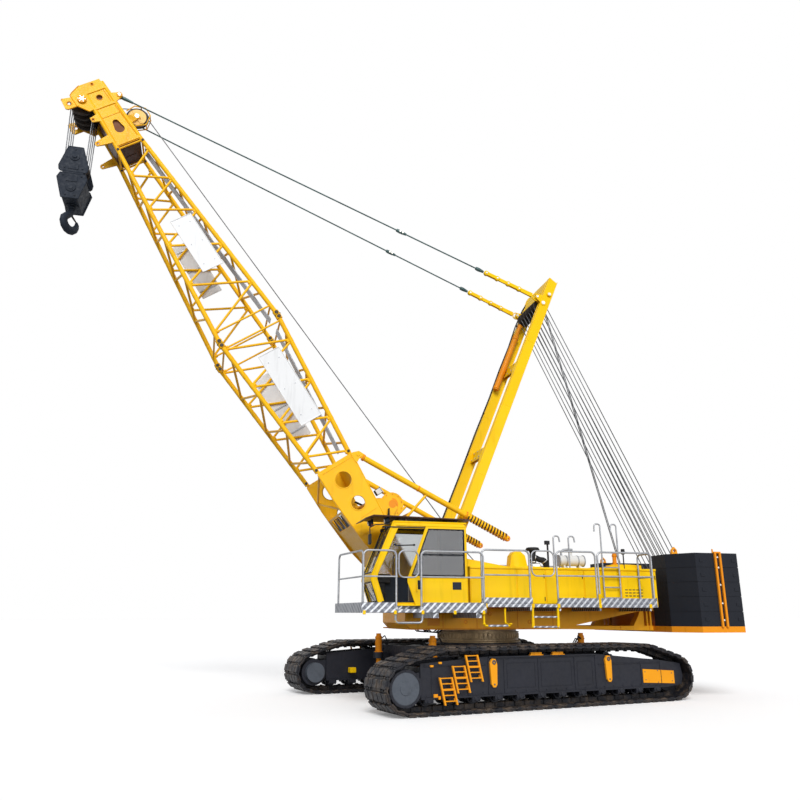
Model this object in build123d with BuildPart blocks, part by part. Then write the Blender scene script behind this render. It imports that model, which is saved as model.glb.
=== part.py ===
from build123d import *
import os
from math import acos, atan2, cos, hypot, pi, radians, sin

# Crawler crane of the 100 t class with its basic lattice boom, in millimetres.
# Frame: the origin is on the ground on the slew axis, +X is the way the boom points,
# +Y is the cab's side (the crane's left), +Z is up.
# The tracks stand turned by TRACK_TURN about the slew axis: the crane is parked slewed.

os.makedirs("parts", exist_ok=True)

# ---------------------------------------------------------------- driving dimensions
RUNNING_GAP = 0.3        # between faces that slide or turn on each other
SIDES = (("left", 1), ("right", -1))

# tracks and track frames, in the tracks' own axes
TRACK_TURN = 12.3        # degrees, tracks against the upper works
TRACK_Y = 2520           # centre of each track from the slew axis
SHOE_WIDTH = 1000
SHOE_PITCH = 245
SHOE_DEPTH = 70          # shoe plate, from its grouser's tip
GROUSER = 32             # groove between shoes
CHAIN_DEPTH = 90         # link chain under the shoes
CHAIN_WIDTH = 260
AXLE_X = 3485            # sprocket and idler axles, fore and aft
AXLE_Z = 515
END_RADIUS = 490         # shoe tips round the end wheels
TRACK_TOP = 1254
RAMP_X = 3250            # where the bottom run leaves the ground
CREST_X = 2650           # where the top run starts down
RUN_RADIUS = 300         # bends of the track at the ramps
FRAME_HALF = 300         # track frame box, half width
FRAME_PLATE = 30         # side plates of the frame
FRAME_LOW = 300
FRAME_HIGH = 1040
FRAME_NOSE_X = 3130
FRAME_TAIL_X = -3720
ROLLER_RADIUS = 125
ROLLER_COUNT = 12
ROLLER_SPAN = 2950       # first and last roller from the middle
CARRIER_RADIUS = 95
CARRIER_X = (-1700, 0, 1900)
HUB_RADIUS = 304         # drive cover

# carbody
BODY_HALF = 1150
BODY_LOW = 350
BODY_TOP = 1240
AXLE_BEAM_X = 1500       # middles of the two cross beams
AXLE_BEAM_WIDE = 560
AXLE_BEAM_LOW = 450
AXLE_BEAM_HIGH = 1150
JACK_X = 2050
JACK_Y = 1400
JACK_RADIUS = 80
JACK_ARM_LOW = 850
JACK_ARM_HIGH = 990
RING_RADIUS = 980
RING_SPLIT_Z = 1500      # where the turning race lies on the fixed one

# revolving frame
DECK_LOW = 1550
DECK_TOP = 2060
DECK_HALF = 1130
DECK_NOSE_X = 2150
TAPER_X = -1600          # where the underside starts up
TAIL_X = -5750
TAIL_LOW = 1980
BEAM_LOW = 1510          # beams back to the counterweight tray
BEAM_HIGH = 1620
BEAM_POST_X = (-4150, -4050)
BOOM_PIN_X = 1862
BOOM_PIN_Z = 2470
BOOM_PIN_RADIUS = 60
MAST_PIN_X = 1190
MAST_PIN_Z = 2620
MAST_PIN_RADIUS = 50
LUG_PLATE = 50
LUG_GAP = 10

# counterweight
TRAY_LOW = 1480
STACK_LOW = 1617
STACK_TOP = 3304
STACK_FRONT_X = -4200
STACK_REAR_X = -5750
STACK_INNER_Y = 1200
STACK_OUTER_Y = 2500
STACK_CHAMFER_X = 400
STACK_CHAMFER_Y = 620
STACK_SLABS = 5
SEAM = 10

# houses, walkways, cab
HOUSE_INNER_Y = 1180
HOUSE_OUTER_Y = 1800
HOUSE_FRONT_X = 800
HOUSE_REAR_X = -3950
HOUSE_TOP = 2940
HOUSE_PEAK = 3120
HOUSE_SLOPE_X = -300
WALK_TOP = 2100
WALK_OUTER_Y = 2500
WALK_THICK = 60
KICK_HEIGHT = 130
PLATFORM_LOW = 1920
PLATFORM_OUTER_Y = 2790
PLATFORM_FRONT_X = 3500
PLATFORM_SPLAY = 267     # the platform's far front corner, ahead of its near one
RAIL_RADIUS = 21
RAIL_TOP = 3175
RAIL_MID = 2641
WALK_RAIL_TOP = 3260
CAB_INNER_Y = 1240
CAB_OUTER_Y = 2280
CAB_WALL = 50
CAB_FLOOR_Z = 2060
CAB_TOP = 3850
SLIDE_LOW = 2080         # sliding door, foot and top
SLIDE_TOP = 3757
GLASS = 8

# boom, in its own axes: x along it from the foot pin, y to the left, z towards its back
BOOM_ANGLE = 56.1
PLATE_HALF_Y = 987       # outer faces of the foot plates
PLATE_THICK = 50
FOOT_LENGTH = 3400       # plated foot
CHORD_START = 3490       # where the chords start, on the foot plates' ends
JOINT_S = 7360
JOINT_STEP = (155, 310)  # from the sections' joint to the nearest web, below and above it
NECK_S = 13385
TIP_S = 15284
CHORD_RADIUS = 57
BRACE_RADIUS = 30
WEB_RADIUS = 24
NODE_GAP = 20            # from a node to the axis of each brace that meets there
HEAD_HALF_Y = 534
HEAD_PLATE = 34
HEAD_PIN = (14880, -450)
HEAD_SHEAVE_RADIUS = 275
HEAD_SHEAVES = 4
SHEAVE_STEP = 220
IDLER_PIN = (14200, 665)
IDLER_RADIUS = 290
PENDANT_PIN = (14660, 460)
PENDANT_BOOM_Y = 455
WINCH_PIN = (1926, 716)
WINCH_FLANGE = 290

# mast, in its own axes: x along it from its foot pin, z towards its rear
MAST_ANGLE = 112.6
MAST_LENGTH = 8950
MAST_Y = 698
MAST_WIDE = 160
MAST_DEEP = 250
MAST_SHEAVE_PIN = (8150, -50)
MAST_PENDANT_PIN = (8270, -255)
LINK_EYE = 84            # long link at the pendants' mast end
LINK_HANG = (-20, -30)   # middle of the link's eye from its pin, which it pulls on
LUFF_SHEAVE_RADIUS = 190
LUFF_SHEAVES = 7
LOWER_BLOCK = (-5600, 2560)      # x and z of the fixed luffing block's pin

# hook block, below the boom's head pin
BLOCK_TOP = 13240
BLOCK_LOW = 11800
BLOCK_SHEAVE_Z = 12960
BLOCK_SHEAVE_RADIUS = 265
HOOK_TURN = 45           # degrees the hook hangs turned on its swivel
FALL_RADIUS = 13
BLOCK_HALF = 430

BOOM_AT = Location((BOOM_PIN_X, 0, BOOM_PIN_Z), (0, -BOOM_ANGLE, 0))
MAST_AT = Location((MAST_PIN_X, 0, MAST_PIN_Z), (0, -MAST_ANGLE, 0))
TRACKS_AT = Location((0, 0, 0), (0, 0, TRACK_TURN))


# ---------------------------------------------------------------- small builders
def write(piece, node, place=None):
    """Put a finished piece in its place, label it and keep it as a STEP file."""
    solid = piece.part if place is None else piece.part.moved(place)
    solid.label = node
    export_step(solid, f"parts/{node}.step")


def block(x, y, z, mode=Mode.ADD):
    """A box between two values on each axis."""
    with Locations(tuple((lo + hi) / 2 for lo, hi in (x, y, z))):
        Box(*(abs(hi - lo) for lo, hi in (x, y, z)), mode=mode)


def plate(points, y, mode=Mode.ADD):
    """An upright plate: an outline of (x, z) points between two y values."""
    with BuildSketch(Plane.XZ.offset(-min(y))) as outline:
        with BuildLine():
            Polyline(*points, close=True)
        make_face()
    extrude(outline.sketch, amount=abs(y[1] - y[0]), dir=(0, 1, 0), mode=mode)


def slab(points, z, mode=Mode.ADD):
    """A level plate: an outline of (x, y) points between two z values."""
    with BuildSketch(Plane.XY.offset(z[0])) as outline:
        with BuildLine():
            Polyline(*points, close=True)
        make_face()
    extrude(outline.sketch, amount=z[1] - z[0], dir=(0, 0, 1), mode=mode)


def cross_bar(x, z, radius, y, mode=Mode.ADD):
    """A round bar along y."""
    with Locations(Location((x, (y[0] + y[1]) / 2, z), (90, 0, 0))):
        Cylinder(radius, abs(y[1] - y[0]), mode=mode)


def post(x, y, radius, z, mode=Mode.ADD):
    """An upright round bar."""
    with Locations((x, y, (z[0] + z[1]) / 2)):
        Cylinder(radius, z[1] - z[0], mode=mode)


def struts(ends, radius):
    """Round struts between pairs of points, joined in one go."""
    bars = []
    for start, end in ends:
        run = Vector(end) - Vector(start)
        bar = Cylinder(radius, run.length, align=(Align.CENTER, Align.CENTER, Align.MIN), mode=Mode.PRIVATE)
        bars.append(bar.moved(Plane(origin=start, z_dir=run).location))
    add(bars)


def outline_bar(points, radius, bend):
    """A bent tube along straight runs with rounded corners."""
    with BuildLine() as path:
        FilletPolyline(*points, radius=bend)
    with BuildSketch(Plane(origin=path.line @ 0, z_dir=path.line % 0)) as section:
        Circle(radius)
    sweep(section.sketch, path=path.line)


def between(a, b, share):
    """The value a share of the way from a to b."""
    return a + (b - a) * share


# ---------------------------------------------------------------- track loop
def belt(wheels):
    """Arcs and straights of a belt round wheels (x, z, radius), counter-clockwise.

    Each stretch is (length, x, z, radius, angle, x2, z2): an arc has x2 None.
    """
    angles = []
    for (xa, za, ra), (xb, zb, rb) in zip(wheels, wheels[1:] + wheels[:1]):
        tilt = acos((ra - rb) / hypot(xb - xa, zb - za))
        angles.append(atan2(zb - za, xb - xa) - tilt)
    stretches = []
    for k, (x, z, r) in enumerate(wheels):
        turn = (angles[k] - angles[k - 1]) % (2 * pi)
        stretches.append((r * turn, x, z, r, angles[k - 1], None, None))
        xn, zn, rn = wheels[(k + 1) % len(wheels)]
        c, s = cos(angles[k]), sin(angles[k])
        a, b = (x + r * c, z + r * s), (xn + rn * c, zn + rn * s)
        stretches.append((hypot(b[0] - a[0], b[1] - a[1]), *a, 0, angles[k], *b))
    return stretches


def belt_point(stretches, travel, inset):
    """The point a distance along a belt, moved in from its outer face."""
    for length, x, z, r, angle, x2, z2 in stretches:
        if travel <= length:
            break
        travel -= length
    if x2 is None:
        angle += travel / r
        return (x + (r - inset) * cos(angle), z + (r - inset) * sin(angle))
    share = travel / length
    return (between(x, x2, share) - inset * cos(angle), between(z, z2, share) - inset * sin(angle))


TRACK_BELT = belt([
    (RAMP_X, RUN_RADIUS, RUN_RADIUS),
    (AXLE_X, AXLE_Z, END_RADIUS),
    (CREST_X, TRACK_TOP - RUN_RADIUS, RUN_RADIUS),
    (-CREST_X, TRACK_TOP - RUN_RADIUS, RUN_RADIUS),
    (-AXLE_X, AXLE_Z, END_RADIUS),
    (-RAMP_X, RUN_RADIUS, RUN_RADIUS),
])
BELT_LENGTH = sum(stretch[0] for stretch in TRACK_BELT)
SHOE_COUNT = round(BELT_LENGTH / SHOE_PITCH)
BAND_DEPTH = SHOE_DEPTH + CHAIN_DEPTH


def belt_ring(inset):
    """Two points a shoe along the belt at an even depth."""
    step = BELT_LENGTH / SHOE_COUNT / 2
    return [belt_point(TRACK_BELT, k * step, inset) for k in range(2 * SHOE_COUNT)]


def shoe_ring():
    """Four points a shoe: its grouser's flat tip, then the groove to the next shoe."""
    pitch = BELT_LENGTH / SHOE_COUNT
    tip_share, points = 0.68, []
    for k in range(SHOE_COUNT):
        for travel, inset in ((0, 0), (tip_share, 0), (tip_share, GROUSER), (1, GROUSER)):
            points.append(belt_point(TRACK_BELT, min((k + travel) * pitch, BELT_LENGTH - 1e-6), inset))
    return points


for name, side in SIDES:
    with BuildPart() as track:
        for outer, inner, width in (
            (shoe_ring(), belt_ring(SHOE_DEPTH), SHOE_WIDTH),
            (belt_ring(SHOE_DEPTH), belt_ring(BAND_DEPTH), CHAIN_WIDTH),
        ):
            with BuildSketch(Plane.XZ.offset(-side * TRACK_Y)) as band:
                with BuildLine():
                    Polyline(*outer, close=True)
                make_face()
                with BuildLine():
                    Polyline(*inner, close=True)
                make_face(mode=Mode.SUBTRACT)
            extrude(band.sketch, amount=width / 2, both=True)
    write(track, f"track_{name}", TRACKS_AT)

# ---------------------------------------------------------------- track frames and wheels
HALF_STEP = BELT_LENGTH / SHOE_COUNT / 4 / END_RADIUS
WHEEL_RADIUS = (END_RADIUS - BAND_DEPTH) * cos(HALF_STEP) - RUNNING_GAP
ROLLER_Z = BAND_DEPTH + ROLLER_RADIUS + RUNNING_GAP
CARRIER_Z = TRACK_TOP - BAND_DEPTH - CARRIER_RADIUS - RUNNING_GAP
PLATE_FACE = FRAME_HALF + FRAME_PLATE
ROLLER_X = [between(-ROLLER_SPAN, ROLLER_SPAN, k / (ROLLER_COUNT - 1)) for k in range(ROLLER_COUNT)]
WHEEL_HALF = 190
CAP_DEPTH = 70

FRAME_SIDE = [
    (FRAME_NOSE_X, FRAME_LOW), (FRAME_NOSE_X, 956), (1560, FRAME_HIGH + 15), (-1210, FRAME_HIGH + 15),
    (-3100, 880), (FRAME_TAIL_X, 800), (FRAME_TAIL_X - 60, AXLE_Z), (FRAME_TAIL_X, FRAME_LOW + 40),
    (-3300, FRAME_LOW),
]
FRAME_BOX_X = (-3120, FRAME_NOSE_X)
FRAME_BOX_Z = (430, 890)

with BuildPart() as frames:
    for _, side in SIDES:
        inner, outer = side * (TRACK_Y - PLATE_FACE), side * (TRACK_Y + PLATE_FACE)
        block(FRAME_BOX_X, (side * (TRACK_Y - FRAME_HALF), side * (TRACK_Y + FRAME_HALF)), FRAME_BOX_Z)
        for face, out in ((inner, -side), (outer, side)):
            face_in = face - out * FRAME_PLATE
            rim = face + out * 30
            plate(FRAME_SIDE, (face_in, face))
            block((-3300, FRAME_NOSE_X), (face, rim), (FRAME_LOW, FRAME_LOW + 30))
            if face == outer:
                block((-1210, 1560), (face, rim), (FRAME_HIGH - 15, FRAME_HIGH + 15))
            # ears that carry the sprocket in front and the idler behind, inside the side plates
            ear_in = face_in - out * (FRAME_HALF - WHEEL_HALF - RUNNING_GAP)
            plate([(FRAME_NOSE_X - 60, 340), (AXLE_X, 310), (AXLE_X + 160, 400), (AXLE_X + 160, 630),
                   (AXLE_X, 730), (FRAME_NOSE_X - 60, 810)], (face_in, ear_in))
            plate([(FRAME_BOX_X[0] + 60, 340), (FRAME_BOX_X[0] + 60, 850), (-AXLE_X, 720), (-AXLE_X - 150, 600),
                   (-AXLE_X - 150, 420), (-AXLE_X, 310)], (face_in, ear_in))
            for x in ROLLER_X:
                block((x - 95, x + 95), (face_in - out * 35, face + out * 8), (ROLLER_Z - CAP_DEPTH, FRAME_LOW + 5))
write(frames, "track_frames", TRACKS_AT)

with BuildPart() as rollers:
    for _, side in SIDES:
        mid = side * TRACK_Y
        for x in ROLLER_X:
            for y in (mid - 130, mid + 130):
                cross_bar(x, ROLLER_Z, ROLLER_RADIUS, (y - 60, y + 60))
            cross_bar(x, ROLLER_Z, ROLLER_RADIUS - 35, (mid - FRAME_HALF + 35, mid + FRAME_HALF - 35))
        for x in CARRIER_X:
            cross_bar(x, CARRIER_Z, CARRIER_RADIUS, (mid - 140, mid + 140))
            cross_bar(x, CARRIER_Z, 40, (mid - FRAME_HALF, mid + FRAME_HALF))
write(rollers, "track_rollers", TRACKS_AT)

with BuildPart() as wheels:
    for _, side in SIDES:
        mid = side * TRACK_Y
        for x in (AXLE_X, -AXLE_X):
            cross_bar(x, AXLE_Z, WHEEL_RADIUS, (mid - WHEEL_HALF + 60, mid + WHEEL_HALF - 60))
            cross_bar(x, AXLE_Z, WHEEL_RADIUS - 90, (mid - WHEEL_HALF, mid + WHEEL_HALF))
write(wheels, "end_wheels", TRACKS_AT)

with BuildPart() as drives:
    for _, side in SIDES:
        cover_in = side * (TRACK_Y + FRAME_HALF)
        cross_bar(AXLE_X, AXLE_Z, HUB_RADIUS, (cover_in, cover_in + side * 100))
        motor_out = side * (TRACK_Y - FRAME_HALF)
        cross_bar(AXLE_X, AXLE_Z, 230, (motor_out, motor_out - side * 260))
write(drives, "final_drives", TRACKS_AT)

# ---------------------------------------------------------------- what hangs on the track frames
STEP_LADDERS = ((2560, 440), (2265, 648), (1960, 845))      # middle x and z of each
LADDER_HALF_X, LADDER_HALF_Z, LADDER_LEAN = 135, 255, 60
LUG_X = (1460, -1550)

with BuildPart() as ladders:
    for _, side in SIDES:
        face = side * (TRACK_Y + PLATE_FACE)
        far = face + side * 110
        for x, z in STEP_LADDERS:
            for edge in (-1, 1):
                foot = (x + edge * LADDER_HALF_X - LADDER_LEAN, z - LADDER_HALF_Z)
                head = (x + edge * LADDER_HALF_X + LADDER_LEAN, z + LADDER_HALF_Z)
                plate([(foot[0] - 18, foot[1]), (foot[0] + 18, foot[1]), (head[0] + 18, head[1]),
                       (head[0] - 18, head[1])], (face + side * 70, far))
            for rung in (-0.72, -0.3, 0.12, 0.54, 0.94):
                mid = x + rung * LADDER_LEAN
                level = z + rung * LADDER_HALF_Z
                block((mid - LADDER_HALF_X, mid + LADDER_HALF_X), (face + side * 74, far - side * 4),
                      (level - 9, level + 9))
            for rung in (-0.3, 0.54):
                level = z + rung * LADDER_HALF_Z
                block((x - 20, x + 20), (face, face + side * 90), (level - 9, level + 9))
write(ladders, "track_steps", TRACKS_AT)

with BuildPart() as lugs:
    for _, side in SIDES:
        face = side * (TRACK_Y + PLATE_FACE)
        for x in LUG_X:
            plate([(x - 45, 1005), (x + 35, 1015), (x + 90, 930), (x + 60, 520), (x + 20, 465), (x - 40, 465),
                   (x - 75, 520), (x - 85, 900)], (face, face + side * 45))
        for x in (375, -190):
            for foot in (-140, -45, 50):
                block((x + foot, x + foot + 90), (face - side * 20, face + side * 28),
                      (FRAME_HIGH + 15, FRAME_HIGH + 75))
            block((x - 170, x + 170), (face - side * 20, face + side * 40), (FRAME_HIGH + 15, FRAME_HIGH + 30))
        # blank name plate at the rear
        plate([(-2560, 410), (-2560, 700), (-3500, 640), (-3500, 365)], (face, face + side * 12))
write(lugs, "track_fittings", TRACKS_AT)

# ---------------------------------------------------------------- carbody, jacks, slew ring
with BuildPart() as carbody:
    block((-BODY_HALF, BODY_HALF), (-BODY_HALF, BODY_HALF), (BODY_LOW, BODY_TOP - 40))
    post(0, 0, RING_RADIUS + 60, (BODY_TOP - 40, BODY_TOP))
    inner = TRACK_Y - PLATE_FACE
    for fore in (-1, 1):
        x = sorted((fore * (AXLE_BEAM_X - AXLE_BEAM_WIDE / 2), fore * (AXLE_BEAM_X + AXLE_BEAM_WIDE / 2)))
        block(x, (-inner, inner), (AXLE_BEAM_LOW, AXLE_BEAM_HIGH))
        block(sorted((fore * (BODY_HALF - 10), x[0] if fore > 0 else x[1])), (-900, 900),
              (AXLE_BEAM_LOW, AXLE_BEAM_HIGH))
        for y in (-JACK_Y, JACK_Y):
            block(sorted((fore * (AXLE_BEAM_X + 200), fore * JACK_X)), (y - 90, y + 90),
                  (JACK_ARM_LOW, JACK_ARM_HIGH))
            post(fore * JACK_X, y, JACK_RADIUS + 50, (JACK_ARM_LOW, JACK_ARM_HIGH))
write(carbody, "carbody", TRACKS_AT)

with BuildPart() as jacks:
    for x, top in ((JACK_X, 1375), (-JACK_X, 1400)):
        for y in (-JACK_Y, JACK_Y):
            post(x, y, JACK_RADIUS, (JACK_ARM_HIGH, top))
            post(x, y, 62, (top, top + 60))
            post(x, y, 60, (540, JACK_ARM_LOW))
            post(x, y, 150, (500, 540))
write(jacks, "jack_cylinders", TRACKS_AT)

with BuildPart() as ring:
    post(0, 0, RING_RADIUS, (BODY_TOP, RING_SPLIT_Z))
write(ring, "slew_ring", TRACKS_AT)

# ---------------------------------------------------------------- revolving frame
BOOM_EAR_Y = (PLATE_HALF_Y - PLATE_THICK, PLATE_HALF_Y)
MAST_EAR_Y = (MAST_Y - MAST_WIDE / 2, MAST_Y + MAST_WIDE / 2)


def ear_plates(x, z, top, foot_half, y_span):
    """A pair of upright lugs either side of a foot that turns on a pin."""
    for face, way in ((y_span[0] - LUG_GAP, -1), (y_span[1] + LUG_GAP, 1)):
        for side in (1, -1):
            plate([(x - foot_half, DECK_TOP), (x - top, z), (x - top * 0.6, z + top * 0.8),
                   (x + top * 0.6, z + top * 0.8), (x + top, z), (x + foot_half, DECK_TOP)],
                  (side * face, side * (face + way * LUG_PLATE)))


with BuildPart() as frame:
    plate([(DECK_NOSE_X, DECK_TOP), (DECK_NOSE_X, 1700), (DECK_NOSE_X - 150, DECK_LOW), (TAPER_X, DECK_LOW),
           (-3900, TAIL_LOW), (TAIL_X, TAIL_LOW), (TAIL_X, DECK_TOP)], (-DECK_HALF, DECK_HALF))
    # the low beams to the counterweight tray and the gussets above it
    for side in (1, -1):
        beam = (side * 900, side * 1100)
        plate([(TAPER_X + 300, DECK_LOW), (TAPER_X + 300, BEAM_HIGH + 30), (TAPER_X - 450, BEAM_HIGH + 30),
               (TAPER_X - 700, BEAM_HIGH), (STACK_FRONT_X, BEAM_HIGH), (STACK_FRONT_X, BEAM_LOW),
               (TAPER_X - 300, BEAM_LOW + 40)], beam)
        for x in BEAM_POST_X:
            block((x - 20, x + 20), beam, (BEAM_HIGH - 10, TAIL_LOW + 10))
        plate([(BEAM_POST_X[0] + 490, BEAM_HIGH), (BEAM_POST_X[0] + 190, BEAM_HIGH),
               (BEAM_POST_X[0] + 190, TAIL_LOW + 10), (BEAM_POST_X[0] + 290, TAIL_LOW + 10),
               (BEAM_POST_X[0] + 340, 1850)], beam)
    ear_plates(BOOM_PIN_X, BOOM_PIN_Z, 150, 230, BOOM_EAR_Y)
    ear_plates(MAST_PIN_X, MAST_PIN_Z, 140, 260, MAST_EAR_Y)
    for side in (1, -1):
        for x, z, radius, span in ((BOOM_PIN_X, BOOM_PIN_Z, BOOM_PIN_RADIUS, BOOM_EAR_Y),
                                   (MAST_PIN_X, MAST_PIN_Z, MAST_PIN_RADIUS, MAST_EAR_Y)):
            out = LUG_GAP + LUG_PLATE
            cross_bar(x, z, radius, (side * (span[0] - out), side * (span[1] + out)))
        # stands of the fixed luffing block
        plate([(LOWER_BLOCK[0] - 140, DECK_TOP), (LOWER_BLOCK[0] - 90, LOWER_BLOCK[1] + 90),
               (LOWER_BLOCK[0] + 90, LOWER_BLOCK[1] + 90), (LOWER_BLOCK[0] + 300, DECK_TOP)],
              (side * 700, side * 740))
    cross_bar(LOWER_BLOCK[0], LOWER_BLOCK[1], 50, (-740, 740))
write(frame, "revolving_frame")

with BuildPart() as race:
    post(0, 0, RING_RADIUS - 40, (RING_SPLIT_Z + RUNNING_GAP, DECK_LOW))
write(race, "slew_race")

with BuildPart() as winches:
    for x, length in ((-450, 560), (-1750, 560), (-3650, 480)):
        z = 2500
        cross_bar(x, z, 230, (-length, length))
        for y in (-length, length):
            cross_bar(x, z, 370, (y - 15, y + 15))
        for side in (1, -1):
            plate([(x - 300, DECK_TOP), (x - 90, z + 90), (x + 90, z + 90), (x + 300, DECK_TOP)],
                  (side * (length + 15), side * (length + 65)))
write(winches, "frame_winches")

# ---------------------------------------------------------------- counterweight
STACK_OUTLINE = [
    (STACK_FRONT_X, STACK_INNER_Y), (STACK_FRONT_X, STACK_OUTER_Y - STACK_CHAMFER_Y),
    (STACK_FRONT_X - STACK_CHAMFER_X, STACK_OUTER_Y), (STACK_REAR_X, STACK_OUTER_Y), (STACK_REAR_X, STACK_INNER_Y),
]


def on_side(points, side):
    """The same outline on the left (1) or the right (-1)."""
    return [(x, side * y) for x, y in points]


with BuildPart() as tray:
    half = [(x, y) for x, y in STACK_OUTLINE if y > STACK_INNER_Y]
    slab(half + [(x, -y) for x, y in reversed(half)], (TRAY_LOW, STACK_LOW))
    slab([(-4300, -1100), (-4300, 1100), (TAIL_X, 1100), (TAIL_X, -1100)], (STACK_LOW, TAIL_LOW))
write(tray, "counterweight_tray")

with BuildPart() as stacks:
    slab_high = (STACK_TOP - STACK_LOW) / STACK_SLABS
    inset = [(x + (-SEAM if x > STACK_REAR_X else SEAM), y + (SEAM if y < STACK_OUTER_Y - 1 else -SEAM))
             for x, y in STACK_OUTLINE]
    for _, side in SIDES:
        slab(on_side(inset, side), (STACK_LOW, STACK_TOP - 20))
        for k in range(STACK_SLABS):
            low = STACK_LOW + k * slab_high
            slab(on_side(STACK_OUTLINE, side), (low + (SEAM / 2 if k else 0), low + slab_high - SEAM / 2))
        # tie channels down the side
        for x in (-5130, -5260):
            block((x - 22, x + 22), (side * STACK_OUTER_Y, side * (STACK_OUTER_Y + 35)), (STACK_LOW, STACK_TOP))
write(stacks, "counterweights")

with BuildPart() as eyes:
    for side in (1, -1):
        x, y = STACK_FRONT_X - 350, side * 1750
        plate([(x - 90, STACK_TOP - SEAM / 2), (x - 70, STACK_TOP + 120), (x, STACK_TOP + 190),
               (x + 70, STACK_TOP + 120), (x + 90, STACK_TOP - SEAM / 2)], (y - 30, y + 30))
        cross_bar(x, STACK_TOP + 95, 40, (y - 40, y + 40), mode=Mode.SUBTRACT)
        post(-5200, side * 2350, 18, (STACK_TOP - SEAM / 2, STACK_TOP + 100))
write(eyes, "lifting_eyes")

# ---------------------------------------------------------------- machinery houses
HOUSE_SIDE = [
    (HOUSE_FRONT_X, DECK_TOP), (HOUSE_FRONT_X, HOUSE_TOP), (HOUSE_REAR_X, HOUSE_TOP), (HOUSE_REAR_X, DECK_TOP),
]
HOUSE_RIDGE = [
    (HOUSE_FRONT_X, HOUSE_TOP - 20), (HOUSE_FRONT_X, HOUSE_PEAK), (HOUSE_SLOPE_X, HOUSE_TOP),
    (HOUSE_SLOPE_X, HOUSE_TOP - 20),
]
with BuildPart() as houses:
    for _, side in SIDES:
        plate(HOUSE_SIDE, (side * HOUSE_INNER_Y, side * HOUSE_OUTER_Y))
        plate(HOUSE_RIDGE, (side * HOUSE_INNER_Y, side * (HOUSE_OUTER_Y - 150)))
        # lip along the roof's edge, and joints between the side panels
        block((HOUSE_REAR_X, HOUSE_FRONT_X), (side * (HOUSE_OUTER_Y - 40), side * (HOUSE_OUTER_Y + 12)),
              (HOUSE_TOP - 45, HOUSE_TOP - 10))
        for x in (-330, -1050, -2030, -3000):
            block((x - 6, x + 6), (side * (HOUSE_OUTER_Y - 12), side * (HOUSE_OUTER_Y + 1)),
                  (DECK_TOP + 60, HOUSE_TOP - 60), mode=Mode.SUBTRACT)
write(houses, "machinery_houses")

with BuildPart() as roof_gear:
    # engine air cleaner housing and a round tank cover on the roof
    plate([(-310, HOUSE_TOP), (-350, HOUSE_TOP + 280), (-430, HOUSE_TOP + 380), (-590, HOUSE_TOP + 380),
           (-700, HOUSE_TOP + 290), (-760, HOUSE_TOP)], (1250, 1500))
    with BuildSketch(Plane.XY.offset(HOUSE_TOP)) as mound:
        with Locations((-3310, 1450)):
            SlotOverall(900, 480)
    extrude(mound.sketch, amount=100)
    post(-3080, 1450, 45, (HOUSE_TOP + 90, HOUSE_TOP + 380))
write(roof_gear, "roof_covers")

with BuildPart() as intake:
    post(-920, 1450, 60, (HOUSE_TOP, HOUSE_TOP + 420))
    post(-920, 1450, 150, (HOUSE_TOP + 410, HOUSE_TOP + 480))
    outline_bar([(-920, 1450, HOUSE_TOP + 230), (-1250, 1450, HOUSE_TOP + 210), (-1250, 1450, HOUSE_TOP)],
                50, 90)
    post(-1220, 1650, 22, (HOUSE_TOP, HOUSE_TOP + 560))
    with Locations((-1210, 1650, HOUSE_TOP + 590)):
        Box(110, 70, 90)
write(intake, "air_intake")

with BuildPart() as muffler:
    with Locations(Location((-1900, 1450, HOUSE_TOP + 190), (0, 90, 0))):
        Cylinder(125, 660)
    for x in (-2100, -1700):
        block((x - 20, x + 20), (1380, 1520), (HOUSE_TOP, HOUSE_TOP + 110))
    post(-1900, 1450, 45, (HOUSE_TOP + 300, HOUSE_TOP + 420))
write(muffler, "muffler")

# ---------------------------------------------------------------- walkways, platform, steps
WALK_RUNS = ((-3480, -2040), (-2020, -1010), (-400, 790))


def kick_run(x, side, top, outer):
    """A walkway's edge: a kick plate standing on its outer rim."""
    block(x, (side * (outer - 12), side * outer), (top - 10, top + KICK_HEIGHT))


with BuildPart() as walkways:
    for _, side in SIDES:
        block((-3480, 790), (side * HOUSE_OUTER_Y, side * WALK_OUTER_Y), (WALK_TOP - WALK_THICK, WALK_TOP))
        for x in WALK_RUNS:
            kick_run(x, side, WALK_TOP, WALK_OUTER_Y)
        for x in (-3300, -2030, -1045, -350, 700):
            arm = (x - 20, x + 20)
            block(arm, (side * DECK_HALF, side * WALK_OUTER_Y), (WALK_TOP - WALK_THICK - 80, WALK_TOP - WALK_THICK))
            block(arm, (side * DECK_HALF, side * HOUSE_OUTER_Y), (WALK_TOP - WALK_THICK, DECK_TOP))
write(walkways, "walkways")

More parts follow.
